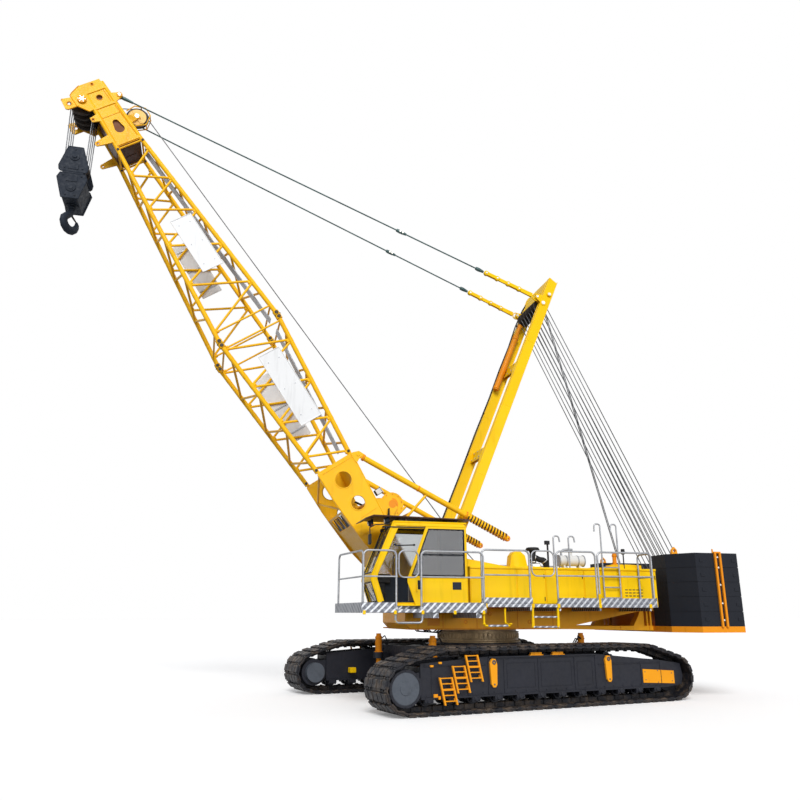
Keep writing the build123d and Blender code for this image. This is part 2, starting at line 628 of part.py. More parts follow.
PLATFORM_KICK = (PLATFORM_LOW + 28, PLATFORM_LOW + 198)
with BuildPart() as platform:
    slab([(HOUSE_FRONT_X, DECK_HALF), (HOUSE_FRONT_X, PLATFORM_OUTER_Y), (PLATFORM_FRONT_X, PLATFORM_OUTER_Y),
          (PLATFORM_FRONT_X + PLATFORM_SPLAY, DECK_HALF)], (PLATFORM_LOW, PLATFORM_LOW + 60))
    for x in ((2790, PLATFORM_FRONT_X), (HOUSE_FRONT_X, 2200)):
        block(x, (PLATFORM_OUTER_Y - 12, PLATFORM_OUTER_Y), PLATFORM_KICK)
    slab([(PLATFORM_FRONT_X - 12, PLATFORM_OUTER_Y), (PLATFORM_FRONT_X, PLATFORM_OUTER_Y),
          (PLATFORM_FRONT_X + PLATFORM_SPLAY, DECK_HALF), (PLATFORM_FRONT_X + PLATFORM_SPLAY - 12, DECK_HALF)],
         PLATFORM_KICK)
    # cross arms from the revolving frame, and the cab's base
    for x in (950, 1900):
        block((x - 60, x + 60), (DECK_HALF, PLATFORM_OUTER_Y - 60), (PLATFORM_LOW - 110, PLATFORM_LOW))
    block((1080, 2930), (CAB_INNER_Y + 60, CAB_OUTER_Y - 60), (PLATFORM_LOW + 60, CAB_FLOOR_Z))
write(platform, "cab_platform")

STEP_X = (-400, -1000)          # ladder opening in the left walkway
with BuildPart() as steps:
    for x in STEP_X:
        plate([(x - 20, WALK_TOP - WALK_THICK), (x + 20, WALK_TOP - WALK_THICK), (x + 20, 1600), (x - 20, 1600)],
              (WALK_OUTER_Y - 60, WALK_OUTER_Y - 10))
    for z in (1620, 1830):
        block(sorted(STEP_X), (WALK_OUTER_Y - 90, WALK_OUTER_Y - 5), (z - 15, z + 15))

    # foot loops below the cab platform
    outline_bar([(2770, 2740, PLATFORM_LOW), (2770, 2740, 1715), (2200, 2740, 1715), (2200, 2740, PLATFORM_LOW)],
                22, 60)
    block((2260, 2700), (2700, 2750), (1700, 1725))
    outline_bar([(840, 2740, PLATFORM_LOW), (840, 2740, 1650), (240, 2740, 1650), (240, 2440, 1700),
                 (240, 2440, WALK_TOP - WALK_THICK)], 20, 60)
    block((300, 760), (2700, 2760), (1632, 1668))
write(steps, "access_steps")


# ---------------------------------------------------------------- guard rails
def rail_loop(a, b, low, top, mids):
    """An upside-down U of tube between two points on the floor, with mid rails."""
    outline_bar([(*a, low), (*a, top), (*b, top), (*b, low)], RAIL_RADIUS, 110)
    struts([((*a, z), (*b, z)) for z in mids], RAIL_RADIUS - 4)


PLATFORM_RAIL_Y = PLATFORM_OUTER_Y - 40
WALK_RAIL_Y = WALK_OUTER_Y - 40
GATE_HINGE_X = 2758
WALK_LOOPS = ((760, -370), (-1030, -2000), (-2060, -3440))

with BuildPart() as rails:
    low = PLATFORM_LOW + 60
    rail_loop((3460, PLATFORM_RAIL_Y), (GATE_HINGE_X, PLATFORM_RAIL_Y), low, RAIL_TOP, (RAIL_MID,))
    rail_loop((2218, PLATFORM_RAIL_Y), (830, PLATFORM_RAIL_Y), low, RAIL_TOP, (RAIL_MID,))
    rail_loop((3460, PLATFORM_RAIL_Y - 60), (3712, 1220), low, RAIL_TOP, (RAIL_MID,))
    # swing gates, hung on the posts beside the two openings
    for x, y, level in (((2703, 2283), PLATFORM_RAIL_Y, 2908), ((-430, -970), WALK_RAIL_Y, 2990)):
        a, b = x
        outline_bar([(between(a, b, 0.5), y, level + 270), (b, y, level + 270), (b, y, level - 280),
                     (a, y, level - 280), (a, y, level + 270), (between(a, b, 0.501), y, level + 270)],
                    RAIL_RADIUS - 4, 120)
        hinge = GATE_HINGE_X if y == PLATFORM_RAIL_Y else -370
        struts([((a, y, level + k), (hinge, y, level + k)) for k in (-100, 100)], 12)
    for a, b in WALK_LOOPS:
        rail_loop((a, WALK_RAIL_Y), (b, WALK_RAIL_Y), WALK_TOP, WALK_RAIL_TOP, (2720,))
    rail_loop((-3455, WALK_RAIL_Y - 70), (-3455, 1860), WALK_TOP, WALK_RAIL_TOP, (2720,))
    for a, b in ((760, -370), (-430, -2000), (-2060, -3440)):
        rail_loop((a, -WALK_RAIL_Y), (b, -WALK_RAIL_Y), WALK_TOP, WALK_RAIL_TOP, (2720,))
    rail_loop((-3455, 70 - WALK_RAIL_Y), (-3455, -1860), WALK_TOP, WALK_RAIL_TOP, (2720,))
    rail_loop((765, 70 - WALK_RAIL_Y), (765, -1860), WALK_TOP, WALK_RAIL_TOP, (2720,))
write(rails, "railings")

# hooked hand canes and the roof ladder on the left house
LADDER_CANE_X = (-2500, -2930)
with BuildPart() as canes:
    for x in (-1320, -1710):
        outline_bar([(x, 1770, HOUSE_TOP), (x, 1770, HOUSE_TOP + 740), (x - 140, 1770, HOUSE_TOP + 740),
                     (x - 160, 1770, HOUSE_TOP + 600)], 18, 60)
    for x in LADDER_CANE_X:
        outline_bar([(x, HOUSE_OUTER_Y + 90, WALK_TOP), (x, HOUSE_OUTER_Y + 90, HOUSE_TOP + 1040),
                     (x + 150, HOUSE_OUTER_Y + 90, HOUSE_TOP + 1040), (x + 160, HOUSE_OUTER_Y + 90, HOUSE_TOP + 860)],
                    18, 60)
    for z in (2260, 2500, 2740, 2960):
        struts([tuple((x, HOUSE_OUTER_Y + 90, z) for x in LADDER_CANE_X)], 15)
write(canes, "hand_canes")

# ---------------------------------------------------------------- cab
SCREEN = ((2700, CAB_TOP), (3170, 2710))              # upper and lower front edges, top to bottom
LOW_SCREEN = ((3185, 2600), (3000, CAB_FLOOR_Z))
CAB_SIDE = [(1020, CAB_FLOOR_Z), (1050, CAB_TOP), *SCREEN, *LOW_SCREEN]
DOORWAY = [(1700, 2120), (1700, 3710), (2610, 3710), (3050, 2740), (3075, 2620), (2910, 2120)]
SIDE_WINDOW = [(1110, 2720), (1110, 3700), (1640, 3710), (1640, 2700)]
FAR_WINDOW = [(1110, 2720), (1110, 3700), (2610, 3710), (3040, 2780), (2900, 2600)]
REAR_WINDOW_Z = (2750, 3600)
PANE_Y = (CAB_INNER_Y + 90, CAB_OUTER_Y - 90)


def behind(edge, shares, depths):
    """Four corners along part of a sloping front edge, between two depths behind it."""
    (xa, za), (xb, zb) = edge
    length = hypot(xb - xa, zb - za)
    right, up = (xb - xa) / length, (zb - za) / length
    corners = ((shares[0], depths[0]), (shares[0], depths[1]), (shares[1], depths[1]), (shares[1], depths[0]))
    return [(between(xa, xb, k) + up * depth, between(za, zb, k) - right * depth) for k, depth in corners]


with BuildPart() as cab:
    with BuildSketch(Plane.XZ.offset(-CAB_INNER_Y)) as shell:
        with BuildLine():
            Polyline(*CAB_SIDE, close=True)
        make_face()
        fillet(shell.vertices().group_by(Axis.Z)[-1], radius=120)
    extrude(shell.sketch, amount=CAB_OUTER_Y - CAB_INNER_Y, dir=(0, 1, 0))
    with BuildSketch(Plane.XZ.offset(-(CAB_INNER_Y + CAB_WALL))) as room:
        with BuildLine():
            Polyline(*CAB_SIDE, close=True)
        make_face()
        offset(amount=-CAB_WALL, kind=Kind.INTERSECTION)
    extrude(room.sketch, amount=CAB_OUTER_Y - CAB_INNER_Y - 2 * CAB_WALL, dir=(0, 1, 0), mode=Mode.SUBTRACT)
    for opening in (DOORWAY, SIDE_WINDOW):
        plate(opening, (CAB_OUTER_Y - CAB_WALL - 10, CAB_OUTER_Y + 10), mode=Mode.SUBTRACT)
    plate(FAR_WINDOW, (CAB_INNER_Y - 10, CAB_INNER_Y + CAB_WALL + 10), mode=Mode.SUBTRACT)
    plate(behind(SCREEN, (0.1, 0.95), (-10, 60)), PANE_Y, mode=Mode.SUBTRACT)
    plate(behind(LOW_SCREEN, (0.1, 0.85), (-10, 60)), PANE_Y, mode=Mode.SUBTRACT)
    block((1000, 1110), PANE_Y, REAR_WINDOW_Z, mode=Mode.SUBTRACT)
    # rails that the door slides on
    block((1040, 2880), (CAB_OUTER_Y, CAB_OUTER_Y + 55), (CAB_FLOOR_Z, SLIDE_LOW - RUNNING_GAP))
    block((1060, 2640), (CAB_OUTER_Y, CAB_OUTER_Y + 25), (SLIDE_TOP + RUNNING_GAP, SLIDE_TOP + 25))
write(cab, "cab_frame")

with BuildPart() as glass:
    plate(behind(SCREEN, (0.1, 0.95), (20, 20 + GLASS)), PANE_Y)
    plate(behind(LOW_SCREEN, (0.1, 0.85), (20, 20 + GLASS)), PANE_Y)
    plate(SIDE_WINDOW, (CAB_OUTER_Y - 30, CAB_OUTER_Y - 30 + GLASS))
    plate(FAR_WINDOW, (CAB_INNER_Y + 20, CAB_INNER_Y + 20 + GLASS))
    block((1056, 1056 + GLASS), PANE_Y, REAR_WINDOW_Z)
write(glass, "cab_glass")

DOOR_SIDE = [(1045, SLIDE_LOW), (1060, SLIDE_TOP), (1970, SLIDE_TOP), (2394, 2630), (2395, 2550), (2222, SLIDE_LOW)]
DOOR_WINDOW = [(1105, 2690), (1105, 3695), (1925, 3695), (2305, 2690)]
DOOR_Y = (CAB_OUTER_Y + 8, CAB_OUTER_Y + 46)
with BuildPart() as door:
    plate(DOOR_SIDE, DOOR_Y)
    plate(DOOR_WINDOW, (DOOR_Y[0] - 1, DOOR_Y[1] + 1), mode=Mode.SUBTRACT)
    block((2190, 2220), (DOOR_Y[1], DOOR_Y[1] + 45), (2360, 2500))
write(door, "cab_door")

with BuildPart() as door_glass:
    plate(DOOR_WINDOW, (DOOR_Y[0] + 15, DOOR_Y[0] + 15 + GLASS))
write(door_glass, "door_glass")

FLOOR_IN = CAB_FLOOR_Z + CAB_WALL
with BuildPart() as seat:
    block((1500, 1850), (1600, 1920), (FLOOR_IN, 2420))
    block((1430, 1960), (1510, 2010), (2420, 2560))
    plate([(1480, 2560), (1380, 3250), (1280, 3250), (1330, 2560)], (1530, 1990))
    plate([(1370, 3250), (1345, 3460), (1265, 3460), (1280, 3250)], (1620, 1900))
    for y in (1400, 2040):
        block((1500, 2150), (y, y + 80), (FLOOR_IN, 2650))
        post(2080, y + 40, 16, (2650, 2860))
write(seat, "operator_seat")

with BuildPart() as guard:
    plate([(3345, 3878), (3345, 3900), (3160, 3975), (931, 3935), (931, 3912), (3160, 3952)], (1240, 2330))
    for x, top in ((1250, 3928), (2400, 3948)):
        for y in (1330, 2150):
            block((x - 30, x + 30), (y, y + 60), (CAB_TOP, top))
write(guard, "cab_roof_guard")

# ---------------------------------------------------------------- boom
PLATE_MID = (PLATE_HALF_Y - PLATE_THICK, PLATE_HALF_Y)
# boom sections: distance from the pin, half width, half depth and offset of the middle, over the chords
SECTIONS = (
    (FOOT_LENGTH, PLATE_HALF_Y, 500, -45),
    (JOINT_S, PLATE_HALF_Y, 855, -40),
    (NECK_S, HEAD_HALF_Y, 386, 0),
)


def chord_at(s, side, back):
    """The middle of a chord at a distance from the pin: side and back are 1 or -1."""
    for (s0, w0, d0, m0), (s1, w1, d1, m1) in zip(SECTIONS, SECTIONS[1:]):
        if s <= s1:
            break
    share = (s - s0) / (s1 - s0)
    half_y = between(w0, w1, share) - CHORD_RADIUS
    half_z = between(d0, d1, share) - CHORD_RADIUS
    return (s, side * half_y, between(m0, m1, share) + back * half_z)


def lattice(ends, nodes, first, webs):
    """Chords between two ends, zigzag braces from node to node and cross webs, of a tapered lattice.

    The side faces' zigzags start at the back (1) or the front (-1), and the nodes of the
    back and front faces lie midway between theirs.
    """
    start, end = ends
    corners = [(side, back) for side in (1, -1) for back in (1, -1)]
    chords = [(Vector(chord_at(start, *c)), Vector(chord_at(end, *c))) for c in corners]
    struts([(a - (b - a) * 0.005, b + (b - a) * 0.005) for a, b in chords], CHORD_RADIUS)
    faces = [((1, 1), (1, -1)), ((-1, 1), (-1, -1)), ((1, 1), (-1, 1)), ((1, -1), (-1, -1))]
    struts([(chord_at(s, *a), chord_at(s, *b)) for s in webs for a, b in faces], WEB_RADIUS)
    runs = []
    for k, (s0, s1) in enumerate(zip(nodes, nodes[1:])):
        back = first if k % 2 == 0 else -first
        runs += [(chord_at(s0 + NODE_GAP, side, back), chord_at(s1 - NODE_GAP, side, -back)) for side in (1, -1)]
    middles = [(s0 + s1) / 2 for s0, s1 in zip(nodes, nodes[1:])]
    for k, (s0, s1) in enumerate(zip(middles, middles[1:])):
        side = 1 if k % 2 == 0 else -1
        runs += [(chord_at(s0 + NODE_GAP, side, back), chord_at(s1 - NODE_GAP, -side, back)) for back in (1, -1)]
    struts(runs, BRACE_RADIUS)


BACKSTOP_Y = 960
BACKSTOP_EYE = 20        # half thickness of each backstop's upper eye
BACKSTOP_TOP = (3364, 565)
BACKSTOP_END = (-306, 2622)
STRUT_FOOT_S = (1330, 1430)
STRUT_FOOT_T = 350
FOOT_PANELS = 7
TOP_PANELS = 9
CHORD_END = NECK_S - 60
FOOT_NODES = (CHORD_START + 70, JOINT_S - JOINT_STEP[0])
TOP_NODES = (JOINT_S + JOINT_STEP[1], CHORD_END - 350)
foot_nodes = [between(*FOOT_NODES, (k / FOOT_PANELS) ** 1.1) for k in range(FOOT_PANELS + 1)]
top_nodes = [between(*TOP_NODES, (k / TOP_PANELS) ** 0.88) for k in range(TOP_PANELS + 1)]

FOOT_PLATE = [(0, -150), (1522, -459), (2705, -540), (CHORD_START - 50, -540), (CHORD_START, -506),
              (CHORD_START, 454), (2614, 387), (1845, 281), (0, 150)]
BELLY = ((900, -325), (2430, -513))
BACK_SHEET = ((2600, 384), (3350, 430))
with BuildPart() as foot:
    for side in (1, -1):
        y = (side * PLATE_MID[0], side * PLATE_MID[1])
        plate(FOOT_PLATE, y)
        cross_bar(0, 0, 150, y)
        for s, t, radius in ((3039, -71, 198), (2395, -64, 171)):
            cross_bar(s, t, radius, y, mode=Mode.SUBTRACT)
        cross_bar(0, 0, BOOM_PIN_RADIUS + RUNNING_GAP, (side * 900, side * 1000), mode=Mode.SUBTRACT)
        # winch stands and backstop lugs on the back edge
        plate([(1470, 200), (WINCH_PIN[0] - 140, WINCH_PIN[1] + 60), (WINCH_PIN[0] + 140, WINCH_PIN[1] + 60),
               (2400, 200)], (side * (PLATE_MID[0] - 300), side * (PLATE_MID[0] - 260)))
        block((3230, CHORD_START - 10), (side * (BACKSTOP_Y - 45), side * (BACKSTOP_Y + 45)), (410, 480))
        for low, high in ((-45, -BACKSTOP_EYE), (BACKSTOP_EYE, 45)):
            plate([(3240, 475), (3300, 620), (3430, 620), (3480, 475)],
                  (side * (BACKSTOP_Y + low), side * (BACKSTOP_Y + high)))
        block(STRUT_FOOT_S, y, (230, STRUT_FOOT_T))
    # belly sheet with its slots, back sheet, cross ties and the open front's braces
    inner = PLATE_MID[0]
    for sheet, depth in ((BELLY, 24), (BACK_SHEET, -24)):
        plate([*sheet, *((s, t + depth) for s, t in reversed(sheet))], (-inner, inner))
    for y in ((-700, -280), (-210, 210), (280, 700)):
        block((2030, 2380), y, (-560, -400), mode=Mode.SUBTRACT)
    for s, t in ((1500, 190), (2250, 260)):
        block((s, s + 60), (-inner, inner), (t, t + 60))
    struts([((2480, inner + 10, -505), (2960, -inner - 10, -505)), ((2960, -inner - 10, -505), (3420, inner + 10, -505))],
           WEB_RADIUS)
write(foot, "boom_foot_plates", BOOM_AT)

with BuildPart() as section:
    lattice((CHORD_START, JOINT_S), foot_nodes, 1, foot_nodes[-1:])
    struts([(chord_at(JOINT_S - 110, side, back), chord_at(JOINT_S + 20, side, back))
            for side in (1, -1) for back in (1, -1)], CHORD_RADIUS + 22)
    split(bisect_by=Plane(origin=(CHORD_START, 0, 0), z_dir=(1, 0, 0)), keep=Keep.TOP)
    split(bisect_by=Plane(origin=(JOINT_S, 0, 0), z_dir=(1, 0, 0)), keep=Keep.BOTTOM)
write(section, "boom_foot_section", BOOM_AT)

with BuildPart() as section:
    lattice((JOINT_S, CHORD_END), top_nodes, -1, (top_nodes[0], CHORD_END - 50))
    struts([(chord_at(JOINT_S - 20, side, back), chord_at(JOINT_S + 110, side, back))
            for side in (1, -1) for back in (1, -1)], CHORD_RADIUS + 22)
    split(bisect_by=Plane(origin=(JOINT_S, 0, 0), z_dir=(1, 0, 0)), keep=Keep.TOP)
    split(bisect_by=Plane(origin=(CHORD_END, 0, 0), z_dir=(1, 0, 0)), keep=Keep.BOTTOM)
write(section, "boom_top_section", BOOM_AT)

with BuildPart() as walk:
    # foot strip along the boom's back, and the blank sign boards in its side faces
    for s0, s1 in ((FOOT_LENGTH + 300, JOINT_S - 150), (JOINT_S + 150, NECK_S - 300)):
        ends = [(s0, chord_at(s0, 1, 1)[2]), (s1, chord_at(s1, 1, 1)[2])]
        below = BRACE_RADIUS + RUNNING_GAP
        plate([(s, t - below - 20) for s, t in ends] + [(s, t - below) for s, t in reversed(ends)], (60, 380))
write(walk, "boom_walkway", BOOM_AT)

with BuildPart() as boards:
    for s0, s1, low, high in ((4660, 6620, -230, 330), (9214, 10800, -230, 320)):
        for side in (1, -1):
            a, b = chord_at(s0, side, 1)[1], chord_at(s1, side, 1)[1]
            face = side * (BRACE_RADIUS + RUNNING_GAP)
            slab([(s0, a + face), (s1, b + face), (s1, b + face + side * 12), (s0, a + face + side * 12)],
                 (low, high))
write(boards, "sign_boards", BOOM_AT)

HEAD_PANEL = (486, 512)          # inner and outer face of the panels between the head's chords
HEAD_BACK = ((CHORD_END, 333), (15200, 245))      # middle of the head's back chords
HEAD_FRONT = ((CHORD_END, -333), (15200, -275))
JIB_LUG = (14901, -777)
with BuildPart() as head:
    inner = HEAD_HALF_Y - HEAD_PLATE
    chord_y = HEAD_HALF_Y - CHORD_RADIUS
    for side in (1, -1):
        y = (side * inner, side * HEAD_HALF_Y)
        deep = (side * (HEAD_PANEL[0] - 40), side * HEAD_HALF_Y)
        for (s0, t0), (s1, t1) in (HEAD_BACK, HEAD_FRONT):
            struts([((s0 - 20, side * chord_y, t0), (s1, side * chord_y, t1))], CHORD_RADIUS)
        plate([HEAD_BACK[0], HEAD_BACK[1], HEAD_FRONT[1], HEAD_FRONT[0]], (side * HEAD_PANEL[0], side * HEAD_PANEL[1]))
        # upright ribs, the tip's cheek and the sheave cheek
        for s0, s1 in ((CHORD_END + 20, CHORD_END + 80), (14490, 14545)):
            plate([(s0, -320), (s0, 320), (s1, 320 if s1 < 14000 else 265), (s1, -320 if s1 < 14000 else -290)], deep)
        plate([(14985, -280), (14985, 250), (TIP_S, 227), (TIP_S, -332)], deep)
        plate([(14509, -300), (14509, -445), (14768, -644), (15105, -657), (15162, -585), (TIP_S, -332),
               (TIP_S, -280)], y)
        # jib lug, tackle lugs, pendant lug and the idler's stand
        plate([(14755, -600), (14755, -880), (14800, -930), (15060, -912), (15090, -870), (15037, -600)], y)
        plate([(13470, -320), (13720, -320), (13650, -740), (13610, -770), (13560, -770), (13530, -740)], y)
        plate([(14140, -300), (14370, -300), (14320, -530), (14200, -530)], y)
        for s, t, radius in ((*JIB_LUG, 50), (14260, -474, 28), (13588, -697, 28)):
            cross_bar(s, t, radius, y, mode=Mode.SUBTRACT)
        for s, t, radius in ((14795, -24, 75), (13790, -6, 125), (13985, -6, 80), (15204, -13, 30)):
            cross_bar(s, t, radius, deep, mode=Mode.SUBTRACT)
        plate([(13795, -131), (13795, 119), (13992, 74), (13992, -86)], deep, mode=Mode.SUBTRACT)
        plate([(PENDANT_PIN[0] - 150, 260), (PENDANT_PIN[0] - 60, PENDANT_PIN[1] + 60),
               (PENDANT_PIN[0] + 60, PENDANT_PIN[1] + 60), (PENDANT_PIN[0] + 150, 260)], y)
        cross_bar(*PENDANT_PIN, 35, (side * (PENDANT_BOOM_Y - 40), side * HEAD_HALF_Y))
        plate([(IDLER_PIN[0] - 160, 265), (IDLER_PIN[0] - 60, IDLER_PIN[1] + 60),
               (IDLER_PIN[0] + 60, IDLER_PIN[1] + 60), (IDLER_PIN[0] + 160, 265)], (side * 90, side * 120))
    plate([(13400, -318), (13950, -300), (13950, -280), (13400, -298)], (-inner, inner))
    plate([(13400, 320), (14950, 246), (14950, 226), (13400, 300)], (-inner, inner))
    block((CHORD_END + 30, CHORD_END + 50), (-inner, inner), (-320, 320))
    cross_bar(*HEAD_PIN, 60, (-HEAD_HALF_Y - 40, HEAD_HALF_Y + 40))
    cross_bar(*IDLER_PIN, 40, (-120, 120))
    cross_bar(15110, 180, 45, (-inner, inner))
    split(bisect_by=Plane(origin=(CHORD_END, 0, 0), z_dir=(1, 0, 0)), keep=Keep.TOP)
write(head, "boom_head", BOOM_AT)

SHEAVE_WIDE = 62
with BuildPart() as sheaves:
    for k in range(HEAD_SHEAVES):
        y = (k - (HEAD_SHEAVES - 1) / 2) * SHEAVE_STEP
        cross_bar(*HEAD_PIN, HEAD_SHEAVE_RADIUS + 30, (y - SHEAVE_WIDE / 2, y - SHEAVE_WIDE / 2 + 12))
        cross_bar(*HEAD_PIN, HEAD_SHEAVE_RADIUS + 30, (y + SHEAVE_WIDE / 2 - 12, y + SHEAVE_WIDE / 2))
        cross_bar(*HEAD_PIN, HEAD_SHEAVE_RADIUS - FALL_RADIUS, (y - SHEAVE_WIDE / 2, y + SHEAVE_WIDE / 2))
        cross_bar(*HEAD_PIN, 60 + RUNNING_GAP, (y - SHEAVE_WIDE, y + SHEAVE_WIDE), mode=Mode.SUBTRACT)
    cross_bar(*IDLER_PIN, IDLER_RADIUS, (-40, -26))
    cross_bar(*IDLER_PIN, IDLER_RADIUS, (26, 40))
    cross_bar(*IDLER_PIN, IDLER_RADIUS - 35, (-40, 40))
    cross_bar(*IDLER_PIN, 40 + RUNNING_GAP, (-60, 60), mode=Mode.SUBTRACT)
write(sheaves, "boom_head_sheaves", BOOM_AT)

with BuildPart() as winch:
    reach = PLATE_MID[0] - 300
    cross_bar(*WINCH_PIN, 220, (-reach + 20, reach - 20))
    for y in (-reach + 20, reach - 20):
        side = 1 if y > 0 else -1
        cross_bar(*WINCH_PIN, WINCH_FLANGE, (y, y - side * 20))
    cross_bar(*WINCH_PIN, 90, (-reach, reach))
write(winch, "boom_winch", BOOM_AT)

# backstops: lugged to the foot's back edge, held up by a frame, their lower ends free
with BuildPart() as backstops:
    for side in (1, -1):
        y = side * BACKSTOP_Y

        def along(share):
            return (between(BACKSTOP_TOP[0], BACKSTOP_END[0], share), y,
                    between(BACKSTOP_TOP[1], BACKSTOP_END[1], share))

        plate([(BACKSTOP_TOP[0] - 140, BACKSTOP_TOP[1] + 60), (BACKSTOP_TOP[0] - 60, 490),
               (BACKSTOP_TOP[0] + 90, 490), (BACKSTOP_TOP[0] + 60, BACKSTOP_TOP[1] + 70),
               (BACKSTOP_TOP[0] - 100, BACKSTOP_TOP[1] + 150)], (y - BACKSTOP_EYE, y + BACKSTOP_EYE))
        struts([(along(0.035), along(0.74))], 68)
        struts([(along(0.7), along(0.98))], 46)
        struts([(along(0.98), along(1.0))], 70)
        struts([(along(0.74 + 0.0187 * k), along(0.75 + 0.0187 * k)) for k in range(13)], 96)
        block(STRUT_FOOT_S, (y - 20, y + 20), (STRUT_FOOT_T, STRUT_FOOT_T + 60))
        struts([((1381, y, STRUT_FOOT_T + 20), along(0.46))], 32)
    struts([((1513, -BACKSTOP_Y, 900), (1513, BACKSTOP_Y, 900))], 28)
write(backstops, "backstops", BOOM_AT)

# ---------------------------------------------------------------- mast
MAST_INNER = MAST_Y - MAST_WIDE / 2
MAST_OUTER = MAST_Y + MAST_WIDE / 2
half = MAST_DEEP / 2
MAST_SIDE = [(0, -100), (260, -half), (MAST_LENGTH + 30, -half), (MAST_LENGTH - 40, half), (260, half), (0, 100)]
with BuildPart() as mast:
    for side in (1, -1):
        y = (side * MAST_INNER, side * MAST_OUTER)
        plate(MAST_SIDE, y)
        cross_bar(0, 0, 110, y)
        cross_bar(0, 0, MAST_PIN_RADIUS + RUNNING_GAP, (side * (MAST_INNER - 5), side * (MAST_OUTER + 5)),
                  mode=Mode.SUBTRACT)
        # ears for the pendants on the front face
        for gap in (-1, 1):
            mid = side * MAST_Y + gap * 42
            plate([(MAST_PENDANT_PIN[0] - 120, -half + 5), (MAST_PENDANT_PIN[0] - 50, MAST_PENDANT_PIN[1] - 50),
                   (MAST_PENDANT_PIN[0] + 50, MAST_PENDANT_PIN[1] - 50), (MAST_PENDANT_PIN[0] + 120, -half + 5)],
                  (mid - 12, mid + 12))
        cross_bar(*MAST_PENDANT_PIN, 20, (side * MAST_Y - 54, side * MAST_Y + 54))
    for s in (3660, 6340):
        block((s - 150, s + 150), (-MAST_INNER, MAST_INNER), (0, 20))
        block((s - 150, s + 150), (-MAST_INNER, MAST_INNER), (half - 50, half - 30))
        block((s - 10, s + 10), (-MAST_INNER, MAST_INNER), (10, half - 40))
    cross_bar(700, 0, 70, (-MAST_INNER, MAST_INNER))
    cross_bar(*MAST_SHEAVE_PIN, 50, (-MAST_INNER, MAST_INNER))
    block((MAST_LENGTH - 480, MAST_LENGTH + 10), (-MAST_INNER, MAST_INNER), (-half, 20 - half))
    cross_bar(MAST_LENGTH - 490, 20, 55, (-MAST_OUTER - 30, MAST_OUTER + 30))
write(mast, "mast", MAST_AT)

with BuildPart() as cylinder:
    y, t = -(MAST_INNER - 105), 20 - half
    struts([((5740, y, t), (7550, y, t))], 80)
    struts([((7550, y, t), (7900, y, t))], 50)
    for s in (5790, 7450, 7870):
        block((s - 30, s + 30), (y, -MAST_INNER), (t - 40, t + 40))
write(cylinder, "mast_cylinder", MAST_AT)


def sheave_pack(x, z, count, reach, bore):
    """Sheaves side by side on one hub, bored for their pin."""
    cross_bar(x, z, LUFF_SHEAVE_RADIUS / 3, (-reach, reach))
    for k in range(count):
        y = between(-reach + 60, reach - 60, k / (count - 1))
        cross_bar(x, z, LUFF_SHEAVE_RADIUS, (y - 24, y + 24))
    cross_bar(x, z, bore, (-reach - 5, reach + 5), mode=Mode.SUBTRACT)


with BuildPart() as upper_block:
    sheave_pack(*MAST_SHEAVE_PIN, LUFF_SHEAVES, MAST_INNER - 20, 50 + RUNNING_GAP)
write(upper_block, "mast_sheaves", MAST_AT)

with BuildPart() as lower_block:
    sheave_pack(*LOWER_BLOCK, LUFF_SHEAVES, 680, 50 + RUNNING_GAP)
write(lower_block, "lower_sheaves")


# ---------------------------------------------------------------- pendants
def placed(place, x, y, z):
    """A point of the boom or mast where it stands."""
    spot = place * Location((x, y, z))
    return (spot.position.X, spot.position.Y, spot.position.Z)


with BuildPart() as pendants:
    for side in (1, -1):
        a = placed(BOOM_AT, PENDANT_PIN[0], side * PENDANT_BOOM_Y, PENDANT_PIN[1])
        b = placed(MAST_AT, MAST_PENDANT_PIN[0] + LINK_HANG[0], side * MAST_Y, MAST_PENDANT_PIN[1] + LINK_HANG[1])

        def along(share):
            return tuple(between(p, q, share) for p, q in zip(a, b))

        struts([(along(0.0), along(0.03))], 40)
        struts([(along(0.03), along(0.86))], 17)
        struts([(along(0.45), along(0.475))], 45)
        struts([(along(0.86), along(0.992))], 26)
        for share in (0.86, 0.905, 0.945):
            struts([(along(share), along(share + 0.018))], 52)
        cross_bar(a[0], a[2], 75, (a[1] - 30, a[1] + 30))
        cross_bar(a[0], a[2], 35 + RUNNING_GAP, (a[1] - 60, a[1] + 60), mode=Mode.SUBTRACT)
        cross_bar(b[0], b[2], LINK_EYE + 24, (b[1] - 15, b[1] + 15))
        cross_bar(b[0], b[2], LINK_EYE, (b[1] - 60, b[1] + 60), mode=Mode.SUBTRACT)
write(pendants, "pendants")

# ---------------------------------------------------------------- hook block and hook
HEAD_X, _, HEAD_Z = placed(BOOM_AT, HEAD_PIN[0], 0, HEAD_PIN[1])
with BuildPart() as falls:
    for k in range(HEAD_SHEAVES):
        y = (k - (HEAD_SHEAVES - 1) / 2) * SHEAVE_STEP
        for way in (-1, 1):
            top = HEAD_X + way * (HEAD_SHEAVE_RADIUS + RUNNING_GAP)
            low = HEAD_X + way * (BLOCK_SHEAVE_RADIUS - FALL_RADIUS)
            struts([((low, y, BLOCK_SHEAVE_Z), (top, y, HEAD_Z))], FALL_RADIUS)
write(falls, "hoist_falls")

